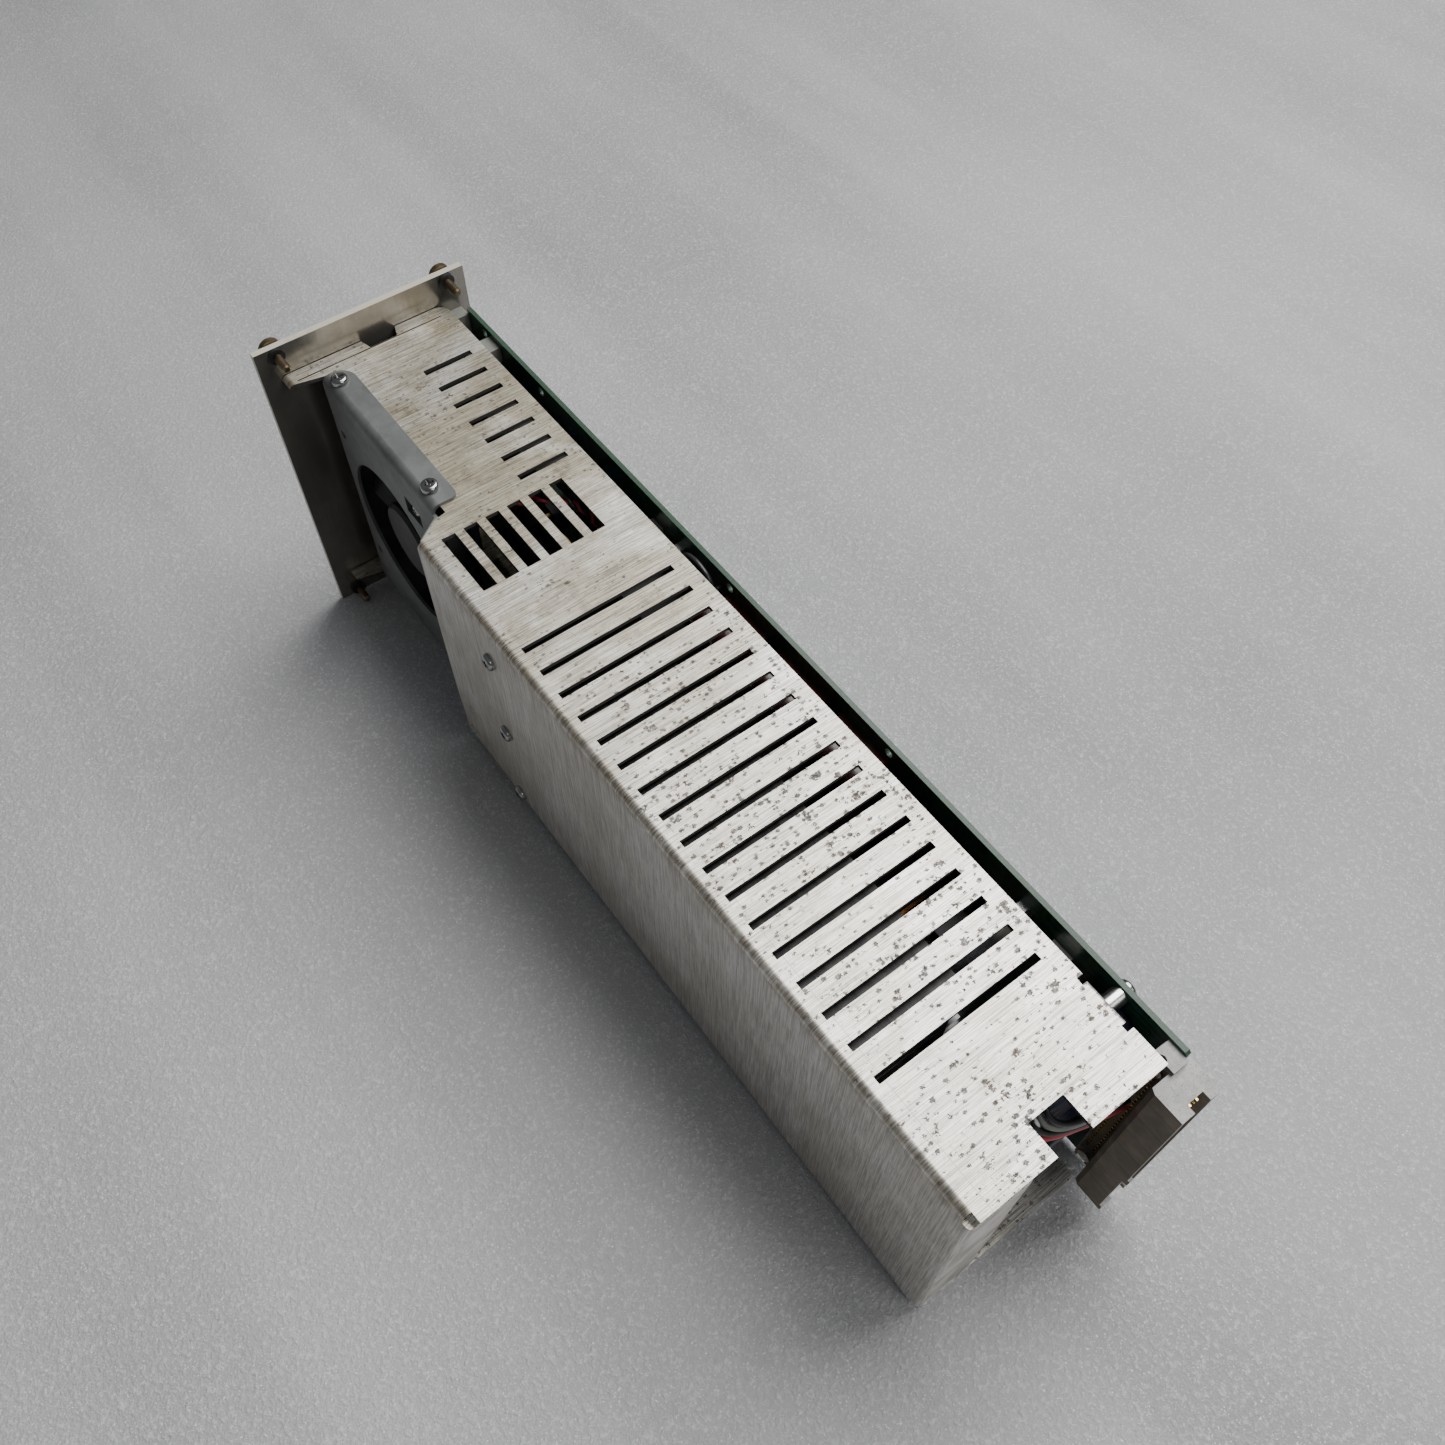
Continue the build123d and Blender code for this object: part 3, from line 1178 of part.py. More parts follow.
def d_shell(centre_z, length):
    """Pressed metal shell with its flange behind the panel."""
    opening = length - SHELL_TRIM
    outer = d_outline(centre_z, opening, SHELL_W)
    inner = d_outline(centre_z, opening - 2 * SHELL_WALL, SHELL_W - 2 * SHELL_WALL)
    with BuildPart() as shell:
        with BuildSketch(facing_rear(PANEL_BACK)):
            with Locations((DSUB_X, centre_z)):
                RectangleRounded(DSUB_W, length, 1.0)
            with Locations(*[(DSUB_X, centre_z + side * (length / 2 - 3.0)) for side in (-1, 1)]):
                Circle(1.6, mode=Mode.SUBTRACT)
        extrude(amount=-1.0)
        with BuildSketch(facing_rear(back(1.0))):
            make_face(outer)
        extrude(amount=FRONT_REACH + 1.0)
        with BuildSketch(facing_rear(back(1.0))):
            make_face(inner)
        extrude(amount=FRONT_REACH + 1.0, mode=Mode.SUBTRACT)
    return shell.part


def d_insert(centre_z, length, wide_row):
    """Black insulator with two staggered rows of sockets and a block behind the flange."""
    opening = length - SHELL_TRIM
    face_y = back(0.5 - FRONT_REACH)
    inner = d_outline(centre_z, opening - 2 * SHELL_WALL, SHELL_W - 2 * SHELL_WALL)
    with BuildPart() as insert:
        with BuildSketch(facing_rear(back(1.0))):
            make_face(inner)
        extrude(amount=back(1.0) - face_y)
        with BuildSketch(facing_rear(back(1.0))):
            with Locations((DSUB_X, centre_z)):
                Rectangle(10.4, opening + 1.0)
        extrude(amount=-(FRONT_BOARD_Y - 1.0))
        with BuildSketch(facing_rear(face_y)):
            for column, count in ((1, wide_row), (-1, wide_row - 1)):
                with Locations((DSUB_X + column * ROW_GAP / 2, centre_z)):
                    with GridLocations(0, PIN_PITCH, 1, count):
                        Circle(0.55)
        extrude(amount=-5.0, mode=Mode.SUBTRACT)
    return insert.part


write(d_shell(ENCODER_Z, ENCODER_L), "encoder_shell")
write(d_insert(ENCODER_Z, ENCODER_L, 8), "encoder_insert")
write(d_shell(SERIAL_Z, SERIAL_L), "serial_shell")
write(d_insert(SERIAL_Z, SERIAL_L, 5), "serial_insert")

with BuildPart() as jackscrews:
    with BuildSketch(facing_rear(PANEL_FRONT)):
        with Locations(*[(DSUB_X, z) for z in JACK_ZS]):
            RegularPolygon(2.7, 6)
    extrude(amount=5.0)
    with BuildSketch(facing_rear(PANEL_FRONT)):
        with Locations(*[(DSUB_X, z) for z in JACK_ZS]):
            Circle(1.5)
    extrude(amount=-(PANEL_T + 4.0))
    with BuildSketch(facing_rear(PANEL_FRONT - 5.0)):
        with Locations(*[(DSUB_X, z) for z in JACK_ZS]):
            Circle(1.2)
    extrude(amount=-4.5, mode=Mode.SUBTRACT)
write(jackscrews.part, "jackscrews")

with BuildPart() as front_board:
    with BuildSketch(facing_rear(back(FRONT_BOARD_Y))):
        with Locations((sum(FRONT_BOARD_X) / 2, sum(FRONT_BOARD_Z) / 2)):
            Rectangle(FRONT_BOARD_X[1] - FRONT_BOARD_X[0], FRONT_BOARD_Z[1] - FRONT_BOARD_Z[0])
    extrude(amount=-BOARD_T)
write(front_board.part, "front_board")

with BuildPart() as status_leds:
    with BuildSketch(facing_rear(back(FRONT_BOARD_Y))):
        with Locations(*[(CONTROL_X, z) for z in LED_ZS]):
            Circle(LED_R)
    extrude(amount=FRONT_BOARD_Y + PANEL_T - 0.6)
    fillet(status_leds.edges().filter_by(GeomType.CIRCLE).group_by(Axis.Y)[0], 1.2)
    with BuildSketch(facing_rear(back(FRONT_BOARD_Y))):
        with Locations(*[(CONTROL_X, z) for z in LED_ZS]):
            Circle(LED_R + 0.5)
    extrude(amount=3.0)
write(status_leds.part, "status_leds")

TRIMMER_FACE_Y = back(2.6)
STEM_R = 1.0
with BuildPart() as trimmer_bodies:
    with BuildSketch(facing_rear(back(FRONT_BOARD_Y))):
        with Locations(*[(CONTROL_X, z) for z in TRIMMER_ZS]):
            Rectangle(6.4, 6.4)
    extrude(amount=back(FRONT_BOARD_Y) - TRIMMER_FACE_Y)
    with BuildSketch(facing_rear(TRIMMER_FACE_Y)):
        with Locations(*[(CONTROL_X, z) for z in TRIMMER_ZS]):
            Circle(STEM_R + RUNNING_FIT)
    extrude(amount=-5.0, mode=Mode.SUBTRACT)
write(trimmer_bodies.part, "trimmer_bodies")

for number, z in enumerate(TRIMMER_ZS, start=1):
    with BuildPart() as trimmer_screw:
        with BuildSketch(facing_rear(TRIMMER_FACE_Y - 0.3)):
            with Locations((CONTROL_X, z)):
                Circle(TRIMMER_R)
        extrude(amount=TRIMMER_FACE_Y - 0.3 - PANEL_FRONT - 0.3)
        with BuildSketch(facing_rear(PANEL_FRONT + 0.3)):
            with Locations((CONTROL_X, z)):
                Rectangle(0.6, 2.4)
        extrude(amount=-0.8, mode=Mode.SUBTRACT)
        with BuildSketch(facing_rear(TRIMMER_FACE_Y - 0.3)):
            with Locations((CONTROL_X, z)):
                Circle(STEM_R)
        extrude(amount=-4.8)
    write(trimmer_screw.part, f"trimmer_screw_{number}")

SWITCH_FACE_Y = back(8.0)
with BuildPart() as reset_switch:
    with BuildSketch(facing_rear(back(FRONT_BOARD_Y))):
        with Locations((CONTROL_X, BUTTON_Z)):
            Rectangle(6.0, 6.0)
    extrude(amount=back(FRONT_BOARD_Y) - SWITCH_FACE_Y)
    with BuildSketch(facing_rear(SWITCH_FACE_Y)):
        with Locations((CONTROL_X, BUTTON_Z)):
            Circle(STEM_R + RUNNING_FIT)
    extrude(amount=-3.2, mode=Mode.SUBTRACT)
write(reset_switch.part, "reset_switch")

with BuildPart() as reset_button:
    with BuildSketch(facing_rear(back(3.0))):
        with Locations((CONTROL_X, BUTTON_Z)):
            Circle(BUTTON_R)
    extrude(amount=3.0 + PANEL_T - 1.0)
    fillet(reset_button.edges().sort_by(Axis.Y)[0], 0.5)
    with BuildSketch(facing_rear(back(3.0))):
        with Locations((CONTROL_X, BUTTON_Z)):
            Circle(STEM_R)
    extrude(amount=-7.0)
write(reset_button.part, "reset_button")
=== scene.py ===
import bpy
import bmesh
import json
import math
import random
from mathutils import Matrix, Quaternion, Vector


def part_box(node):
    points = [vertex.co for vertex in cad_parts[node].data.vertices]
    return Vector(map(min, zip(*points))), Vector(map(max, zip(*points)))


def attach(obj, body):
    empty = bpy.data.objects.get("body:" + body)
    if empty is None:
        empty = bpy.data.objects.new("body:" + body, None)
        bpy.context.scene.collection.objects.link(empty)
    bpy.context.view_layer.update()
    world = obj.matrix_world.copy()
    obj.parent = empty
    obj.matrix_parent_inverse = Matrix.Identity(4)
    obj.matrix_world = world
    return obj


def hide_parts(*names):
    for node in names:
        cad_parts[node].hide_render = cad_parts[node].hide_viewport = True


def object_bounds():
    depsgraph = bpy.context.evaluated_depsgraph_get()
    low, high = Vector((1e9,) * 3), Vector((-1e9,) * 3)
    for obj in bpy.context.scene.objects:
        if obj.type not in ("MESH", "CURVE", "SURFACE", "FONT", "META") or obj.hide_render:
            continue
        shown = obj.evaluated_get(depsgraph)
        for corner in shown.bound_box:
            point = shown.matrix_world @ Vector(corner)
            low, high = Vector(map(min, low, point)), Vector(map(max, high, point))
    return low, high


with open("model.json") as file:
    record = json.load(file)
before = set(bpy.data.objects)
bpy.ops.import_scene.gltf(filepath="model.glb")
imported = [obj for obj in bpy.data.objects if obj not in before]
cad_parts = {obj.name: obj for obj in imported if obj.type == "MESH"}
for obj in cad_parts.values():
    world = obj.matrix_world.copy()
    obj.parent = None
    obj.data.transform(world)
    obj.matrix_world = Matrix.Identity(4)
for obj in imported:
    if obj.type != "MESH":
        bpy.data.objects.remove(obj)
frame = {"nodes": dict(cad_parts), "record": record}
cad_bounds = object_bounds()
MM = 0.001
nodes = frame["nodes"]

# ---------------------------------------------------------------- places read from the frame
CASE_LOW, CASE_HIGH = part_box("housing")
BOARD_LOW, BOARD_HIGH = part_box("main_board")
PANEL_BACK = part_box("front_panel")[1].y
SIDE_X = CASE_HIGH.x
CASE_TOP = CASE_HIGH.z


# ---------------------------------------------------------------- node-material helper
SPECK_WOBBLE_FINENESS = 4.0
SPECK_WOBBLE_REACH = 1.1
SPECK_EDGE = 0.07


class Shade:
    """A Principled material whose inputs are fed by a few procedural textures."""

    def __init__(self, name, metallic=0.0, **sockets):
        self.material = bpy.data.materials.new(name)
        self.material.use_nodes = True
        self.tree = self.material.node_tree
        self.surface = self.tree.nodes["Principled BSDF"]
        self.place = self.new("ShaderNodeTexCoord").outputs["Object"]
        self.feed(self.surface.inputs["Metallic"], metallic)
        for label, value in sockets.items():
            self.surface.inputs[label.replace("_", " ")].default_value = value

    def new(self, kind, **settings):
        node = self.tree.nodes.new(kind)
        for key, value in settings.items():
            setattr(node, key, value)
        return node

    def feed(self, socket, value):
        """Connects a socket, or sets it when the value is a number or a colour."""
        if isinstance(value, bpy.types.NodeSocket):
            self.tree.links.new(value, socket)
        elif isinstance(value, (tuple, list)) and len(value) == 3 and socket.type == "RGBA":
            socket.default_value = (*value, 1.0)
        else:
            socket.default_value = value

    def stretched(self, stretch, turn=(0, 0, 0)):
        """The place on the object, scaled and turned."""
        mapping = self.new("ShaderNodeMapping")
        self.feed(mapping.inputs["Vector"], self.place)
        mapping.inputs["Scale"].default_value = stretch
        mapping.inputs["Rotation"].default_value = turn
        return mapping.outputs["Vector"]

    def noise(
        self, scale, stretch=(1, 1, 1), detail=3.0, rough=0.55, distortion=0.0, shift=0.0, turn=(0, 0, 0)
    ):
        """Cloudy 0 to 1 values; shift picks another pattern."""
        texture = self.new("ShaderNodeTexNoise", noise_dimensions="4D")
        self.feed(texture.inputs["Vector"], self.stretched(stretch, turn))
        texture.inputs["Scale"].default_value = scale
        texture.inputs["Detail"].default_value = detail
        texture.inputs["Roughness"].default_value = rough
        texture.inputs["Distortion"].default_value = distortion
        texture.inputs["W"].default_value = shift
        return texture.outputs["Fac"]

    def cells(self, scale, metric="EUCLIDEAN", output="Distance"):
        """Voronoi cells of 1 / scale metres."""
        texture = self.new("ShaderNodeTexVoronoi", distance=metric)
        self.feed(texture.inputs["Vector"], self.place)
        texture.inputs["Scale"].default_value = scale
        return texture.outputs[output]

    def specks(self, scale, share, size, gather, stretch=(1, 1, 1)):
        """Irregular spots: a share of the cells of a Voronoi pattern holds one; gather crowds them."""
        wobble = self.new("ShaderNodeTexNoise")
        self.feed(wobble.inputs["Vector"], self.place)
        wobble.inputs["Scale"].default_value = scale * SPECK_WOBBLE_FINENESS
        wobble.inputs["Detail"].default_value = 3.0
        shove = self.new("ShaderNodeVectorMath", operation="MULTIPLY_ADD")
        self.feed(shove.inputs[0], wobble.outputs["Color"])
        shove.inputs[1].default_value = (SPECK_WOBBLE_REACH / scale,) * 3
        self.feed(shove.inputs[2], self.stretched(stretch))
        cell = self.new("ShaderNodeTexVoronoi")
        self.feed(cell.inputs["Vector"], shove.outputs[0])
        cell.inputs["Scale"].default_value = scale
        pick = self.math("MULTIPLY", self.axis("X", cell.outputs["Color"]), gather)
        radius = self.math("MULTIPLY", self.math("SUBTRACT", pick, 1.0 - share), size / share)
        return self.step(self.math("SUBTRACT", radius, cell.outputs["Distance"]), 0.0, SPECK_EDGE)

    def math(self, operation, a, b=0.0, clamp=False):
        node = self.new("ShaderNodeMath", operation=operation, use_clamp=clamp)
        self.feed(node.inputs[0], a)
        self.feed(node.inputs[1], b)
        return node.outputs[0]

    def axis(self, letter, source=None):
        """One coordinate of the place on the object, in metres."""
        split = self.new("ShaderNodeSeparateXYZ")
        self.feed(split.inputs[0], source or self.place)
        return split.outputs[letter]

    def facing(self, letter):
        """One component of the surface normal."""
        return self.axis(letter, self.new("ShaderNodeNewGeometry").outputs["Normal"])

    def step(self, value, low, high):
        """0 below low, 1 above high, smooth between."""
        node = self.new("ShaderNodeMapRange", interpolation_type="SMOOTHSTEP")
        self.feed(node.inputs["Value"], value)
        node.inputs["From Min"].default_value = low
        node.inputs["From Max"].default_value = high
        return node.outputs["Result"]

    def spread(self, value, low, high):
        """Maps a 0 to 1 value onto a range."""
        node = self.new("ShaderNodeMapRange")
        self.feed(node.inputs["Value"], value)
        node.inputs["To Min"].default_value = low
        node.inputs["To Max"].default_value = high
        return node.outputs["Result"]

    def mix(self, factor, a, b, blend="MIX"):
        node = self.new("ShaderNodeMix", data_type="RGBA", blend_type=blend)
        self.feed(node.inputs["Factor"], factor)
        self.feed(node.inputs["A"], a)
        self.feed(node.inputs["B"], b)
        return node.outputs["Result"]

    def blend(self, factor, a, b):
        node = self.new("ShaderNodeMix", data_type="FLOAT")
        self.feed(node.inputs["Factor"], factor)
        self.feed(node.inputs["A"], a)
        self.feed(node.inputs["B"], b)
        return node.outputs["Result"]

    def relief(self, height, depth, strength):
        """Bumps the surface; depth is the relief's height in metres."""
        bump = self.new("ShaderNodeBump")
        self.feed(bump.inputs["Height"], height)
        bump.inputs["Strength"].default_value = strength
        bump.inputs["Distance"].default_value = depth
        if self.surface.inputs["Normal"].is_linked:
            self.feed(bump.inputs["Normal"], self.surface.inputs["Normal"].links[0].from_socket)
        self.feed(self.surface.inputs["Normal"], bump.outputs["Normal"])

    def color(self, value):
        self.feed(self.surface.inputs["Base Color"], value)

    def rough(self, value):
        self.feed(self.surface.inputs["Roughness"], value)


# ---------------------------------------------------------------- materials of the sheet metal
BEND_GRIME_WIDTH = 3.4 * MM
BEND_GRIME_DROP = 9.0 * MM
SCRIBE_INSET = 6.4 * MM
SCRIBE_HALF_WIDTH = 0.22 * MM
CUT_EDGE_MARGIN = 2.0 * MM
FILM_REAR_Y = 140.0 * MM
FILM_FRONT_Y = -140.0 * MM
SCRIBE_START_Y = 20.0 * MM
SCRIBE_FULL_Y = 80.0 * MM


def milled_sheet(m, top, lines, tone):
    """Bare sheet colour: light and dark grain lines under a faint yellowing."""
    contrast = m.blend(m.spread(top, 0.35, 0.0), m.step(lines, 0.38, 0.60), 0.6)
    bare = m.mix(contrast, (0.40, 0.39, 0.36), (1.0, 0.98, 0.935))
    return m.mix(m.math("MULTIPLY", m.step(tone, 0.38, 0.62), 0.55), bare, (0.74, 0.70, 0.62), "MULTIPLY")


def oil_film(m, top, forward, cloud, blotch):
    """How thick the brown film is: thicker on top and towards the panel."""
    film = m.math("MULTIPLY", m.step(cloud, 0.32, 0.56), m.spread(blotch, 0.6, 1.5), clamp=True)
    film = m.math("MULTIPLY", film, m.spread(forward, 0.22, 1.0), clamp=True)
    return m.math("MULTIPLY", film, m.spread(top, 0.35, 1.0), clamp=True)


def soot_and_pepper(m, color, top, forward, cloud, blotch, tone):
    """Grey soot in blotches on the top sheet, with fine dark pepper over it."""
    soot = m.math("MULTIPLY", m.step(blotch, 0.52, 0.70), m.spread(forward, 0.15, 0.85), clamp=True)
    soot = m.math("MULTIPLY", soot, m.math("MULTIPLY", top, m.step(cloud, 0.36, 0.58)))
    color = m.mix(soot, color, (0.36, 0.335, 0.30), "MULTIPLY")
    pepper = m.step(m.noise(1150.0, (0.6, 1.0, 1.0), 4.0, 0.8, shift=13.0), 0.53, 0.64)
    where = m.spread(m.step(tone, 0.36, 0.6), 0.25, 0.75)
    pepper = m.math("MULTIPLY", m.math("MULTIPLY", pepper, top), where)
    return m.mix(pepper, color, (0.60, 0.57, 0.52), "MULTIPLY")


def oxide_specks(m, top, forward):
    """Corrosion specks of two sizes, crowded into clusters."""
    crowd = m.step(m.noise(32.0, detail=4.0, rough=0.65, shift=2.0), 0.36, 0.60)
    crowd = m.math("MULTIPLY", m.spread(crowd, 0.62, 1.0), m.spread(forward, 1.0, 0.93))
    large = m.specks(290.0, 0.55, 0.40, crowd, (0.7, 1.0, 1.0))
    small = m.specks(760.0, 0.72, 0.60, crowd, (0.7, 1.0, 1.0))
    oxide = m.math("MAXIMUM", m.math("MULTIPLY", large, 0.85), m.math("MULTIPLY", small, 0.8))
    broken = m.spread(m.noise(1400.0, detail=3.0, shift=6.0), -0.1, 1.9)
    oxide = m.math("MULTIPLY", oxide, broken, clamp=True)
    return m.math("MULTIPLY", oxide, m.spread(top, 0.15, 1.0), clamp=True)


def bend_marks(m, color, top, inset):
    """Grime along the bend of the plain side and a line scribed beside it."""
    bend = m.step(inset, BEND_GRIME_WIDTH, 0.6 * MM)
    drop = m.step(m.math("SUBTRACT", CASE_TOP, m.axis("Z")), BEND_GRIME_DROP, 0.5 * MM)
    rub = m.step(m.noise(190.0, (1, 1.6, 0.7), 6.0, 0.75, shift=11.0), 0.36, 0.62)
    grime = m.math("MULTIPLY", m.math("MULTIPLY", bend, drop), m.math("MULTIPLY", rub, 0.7))
    color = m.mix(grime, color, (0.45, 0.39, 0.30), "MULTIPLY")
    off_line = m.math("ABSOLUTE", m.math("SUBTRACT", inset, SCRIBE_INSET))
    rearward = m.step(m.axis("Y"), SCRIBE_START_Y, SCRIBE_FULL_Y)
    scribe = m.math("MULTIPLY", m.step(off_line, SCRIBE_HALF_WIDTH, 0.05 * MM), rearward)
    return m.mix(m.math("MULTIPLY", m.math("MULTIPLY", scribe, top), 0.6), color, (0.30, 0.29, 0.27))


def slot_wall_shade(m, inset):
    """1 on the cut walls of the slots and windows, 0 on the sheet's faces; it places painted shade on those
    walls.
    """
    inside = m.step(m.axis("Y"), CASE_HIGH.y - 1.0 * MM, CASE_HIGH.y - CUT_EDGE_MARGIN)
    across = m.math("MULTIPLY", m.step(m.math("ABSOLUTE", m.facing("Y")), 0.6, 0.9), inside)
    away = m.step(inset, 3.0 * MM, 4.0 * MM)
    lengthways = m.math("MULTIPLY", m.step(m.math("ABSOLUTE", m.facing("X")), 0.6, 0.9), away)
    return m.math("MAXIMUM", across, lengthways)


def case_aluminium():
    """Mill-finish sheet: grain across the case, brown film, dark corrosion specks, a scribed line, and
    painted shade on the cut walls of slots and windows.
    """
    m = Shade("case_aluminium", metallic=0.8)
    top = m.step(m.facing("Z"), 0.5, 0.8)
    forward = m.step(m.axis("Y"), FILM_REAR_Y, FILM_FRONT_Y)
    inset = m.math("SUBTRACT", SIDE_X, m.axis("X"))
    coarse = m.noise(1.0, (30, 1300, 30), 3.0, 0.6)
    fine = m.noise(1.0, (75, 4200, 75), 2.0, 0.65, shift=3.0)
    lines = m.math("ADD", m.math("MULTIPLY", coarse, 0.25), m.math("MULTIPLY", fine, 0.75))
    tone = m.noise(26.0, detail=7.0, rough=0.72, shift=9.0)
    cloud = m.noise(24.0, detail=8.0, rough=0.68, distortion=0.5)
    blotch = m.noise(75.0, detail=6.0, rough=0.7, shift=7.0)
    film = oil_film(m, top, forward, cloud, blotch)
    color = m.mix(film, milled_sheet(m, top, lines, tone), (0.55, 0.51, 0.41), "MULTIPLY")
    color = soot_and_pepper(m, color, top, forward, cloud, blotch, tone)
    oxide = oxide_specks(m, top, forward)
    rust = m.mix(m.step(blotch, 0.4, 0.6), (0.050, 0.048, 0.047), (0.095, 0.062, 0.038))
    color = bend_marks(m, m.mix(oxide, color, rust), top, inset)
    cut = slot_wall_shade(m, inset)
    # painted shade: the cut walls of slots and windows are coloured near black, as if in shadow
    m.color(m.mix(m.math("MULTIPLY", cut, 0.93), color, (0.018, 0.016, 0.015)))
    dull = m.math("ADD", m.math("MULTIPLY", film, 0.12), m.math("MULTIPLY", oxide, 0.3))
    m.rough(m.math("ADD", m.spread(lines, 0.30, 0.50), m.math("ADD", dull, cut), clamp=True))
    m.feed(m.surface.inputs["Metallic"], m.blend(m.math("MAXIMUM", oxide, cut), 0.8, 0.1))
    m.relief(lines, 0.00008, 0.6)
    m.relief(m.math("SUBTRACT", 1.0, oxide), 0.00010, 0.5)
    return m.material


def panel_finish():
    """Satin plate behind, ivory paint on its front and edges."""
    m = Shade("panel_aluminium")
    behind = m.step(m.facing("Y"), 0.5, 0.8)
    grain = m.noise(1.0, (2400, 60, 60), 3.0, 0.6)
    cloud = m.noise(35.0, detail=5.0, rough=0.6)
    metal = m.mix(m.step(cloud, 0.35, 0.7), (0.28, 0.265, 0.235), (0.42, 0.39, 0.34))
    metal = m.mix(m.math("MULTIPLY", m.step(grain, 0.3, 0.7), 0.3), metal, (0.20, 0.19, 0.175))
    dirt = m.step(m.noise(160.0, detail=5.0, rough=0.7, shift=4.0), 0.50, 0.72)
    paint = m.mix(m.math("MULTIPLY", dirt, 0.4), (0.55, 0.52, 0.42), (0.30, 0.26, 0.19))
    m.color(m.mix(behind, paint, metal))
    m.feed(m.surface.inputs["Metallic"], m.math("MULTIPLY", behind, 0.8))
    m.rough(m.blend(behind, m.spread(dirt, 0.42, 0.6), m.spread(grain, 0.17, 0.27)))
    m.relief(m.noise(1900.0, detail=2.0), 0.00003, 0.4)
    return m.material


SHROUD_SEAMS_PER_M = 95.0


def shroud_with_painted_shade():
    """Speckled grey connector moulding; the side that faces the case has painted shade in dark brown, with
    ochre stains and dark seams on it.
    """
    m = Shade("connector_grey")
    shaded_side = m.step(m.facing("X"), 0.4, 0.8)
    cloud = m.noise(110.0, detail=6.0, rough=0.65)
    pale = m.mix(m.step(cloud, 0.3, 0.7), (0.30, 0.295, 0.28), (0.52, 0.51, 0.49))
    fleck = m.step(m.noise(2100.0, detail=2.0, rough=0.7, shift=3.0), 0.52, 0.64)
    pale = m.mix(m.math("MULTIPLY", fleck, 0.55), pale, (0.15, 0.14, 0.13))
    # painted shade: the side facing the case is coloured dark brown, a shaded copy of the pale moulding
    brown = m.mix(m.step(cloud, 0.35, 0.75), (0.185, 0.155, 0.122), (0.330, 0.270, 0.195))
    seam = m.step(m.math("FRACT", m.math("MULTIPLY", m.axis("Z"), SHROUD_SEAMS_PER_M)), 0.04, 0.0)
    brown = m.mix(m.math("MULTIPLY", seam, 0.8), brown, (0.02, 0.018, 0.015))
    ochre = m.step(m.noise(1.0, (160, 160, 28), 3.0, 0.6, shift=8.0), 0.56, 0.70)
    brown = m.mix(m.math("MULTIPLY", ochre, 0.5), brown, (0.38, 0.27, 0.09))
    m.color(m.mix(shaded_side, pale, brown))
    m.rough(m.spread(m.noise(500.0, detail=3.0, shift=1.0), 0.38, 0.6))
    m.relief(m.noise(1500.0, detail=2.0, rough=0.6), 0.00006, 0.4)
    return m.material


def galvanised_steel():
    """Blue-grey zinc with faint spangle, dull patches and handling marks."""
    m = Shade("galvanised_steel", metallic=0.6)
    shade = m.new("ShaderNodeRGBToBW")
    m.feed(shade.inputs[0], m.cells(300.0, output="Color"))
    cloud = m.noise(70.0, detail=6.0, rough=0.65)
    base = m.mix(m.step(cloud, 0.3, 0.7), (0.132, 0.141, 0.136), (0.212, 0.222, 0.213))
    base = m.mix(m.math("MULTIPLY", shade.outputs[0], 0.22), base, (0.27, 0.28, 0.27))
    spots = m.specks(420.0, 0.3, 0.35, m.spread(cloud, 0.6, 1.1))
    m.color(m.mix(m.math("MULTIPLY", spots, 0.4), base, (0.10, 0.10, 0.10)))
    m.rough(m.spread(m.noise(240.0, detail=4.0, shift=1.0), 0.38, 0.6))
    m.relief(m.noise(900.0, detail=3.0), 0.00003, 0.35)
    return m.material


PLATING_GRAIN = 700.0
PLASTIC_GRAIN = 1500.0


def plated_metal(name, dark, light, low, high):
    """Small machined or plated parts: uneven tone, fine scratches, varied gloss."""
    m = Shade(name, metallic=1.0)
    cloud = m.noise(PLATING_GRAIN * 0.4, detail=4.0, rough=0.6)
    m.color(m.mix(m.step(cloud, 0.3, 0.7), dark, light))
    m.rough(m.spread(m.noise(PLATING_GRAIN, detail=3.0, shift=2.0), low, high))
    m.relief(m.noise(PLATING_GRAIN * 3.0, detail=2.0, shift=4.0), 0.00001, 0.4)
    return m.material


# ---------------------------------------------------------------- materials of the rest
def moulded_plastic(name, dark, light, low=0.35, high=0.55):
    """Moulded plastic with a grained skin and light soiling."""
    m = Shade(name)
    cloud = m.noise(90.0, detail=4.0, rough=0.6)
    base = m.mix(m.step(cloud, 0.3, 0.7), dark, light)
    dust = m.math("MULTIPLY", m.step(m.noise(260.0, detail=5.0, rough=0.7, shift=5.0), 0.52, 0.75), 0.25)
    m.color(m.mix(dust, base, (0.16, 0.145, 0.125)))
    m.rough(m.spread(m.noise(PLASTIC_GRAIN * 0.3, detail=3.0, shift=1.0), low, high))
    m.relief(m.noise(PLASTIC_GRAIN, detail=2.0, rough=0.6), 0.00004, 0.35)
    return m.material


TRACK_CELLS = 52.0
TRACK_RINGS = 7.0


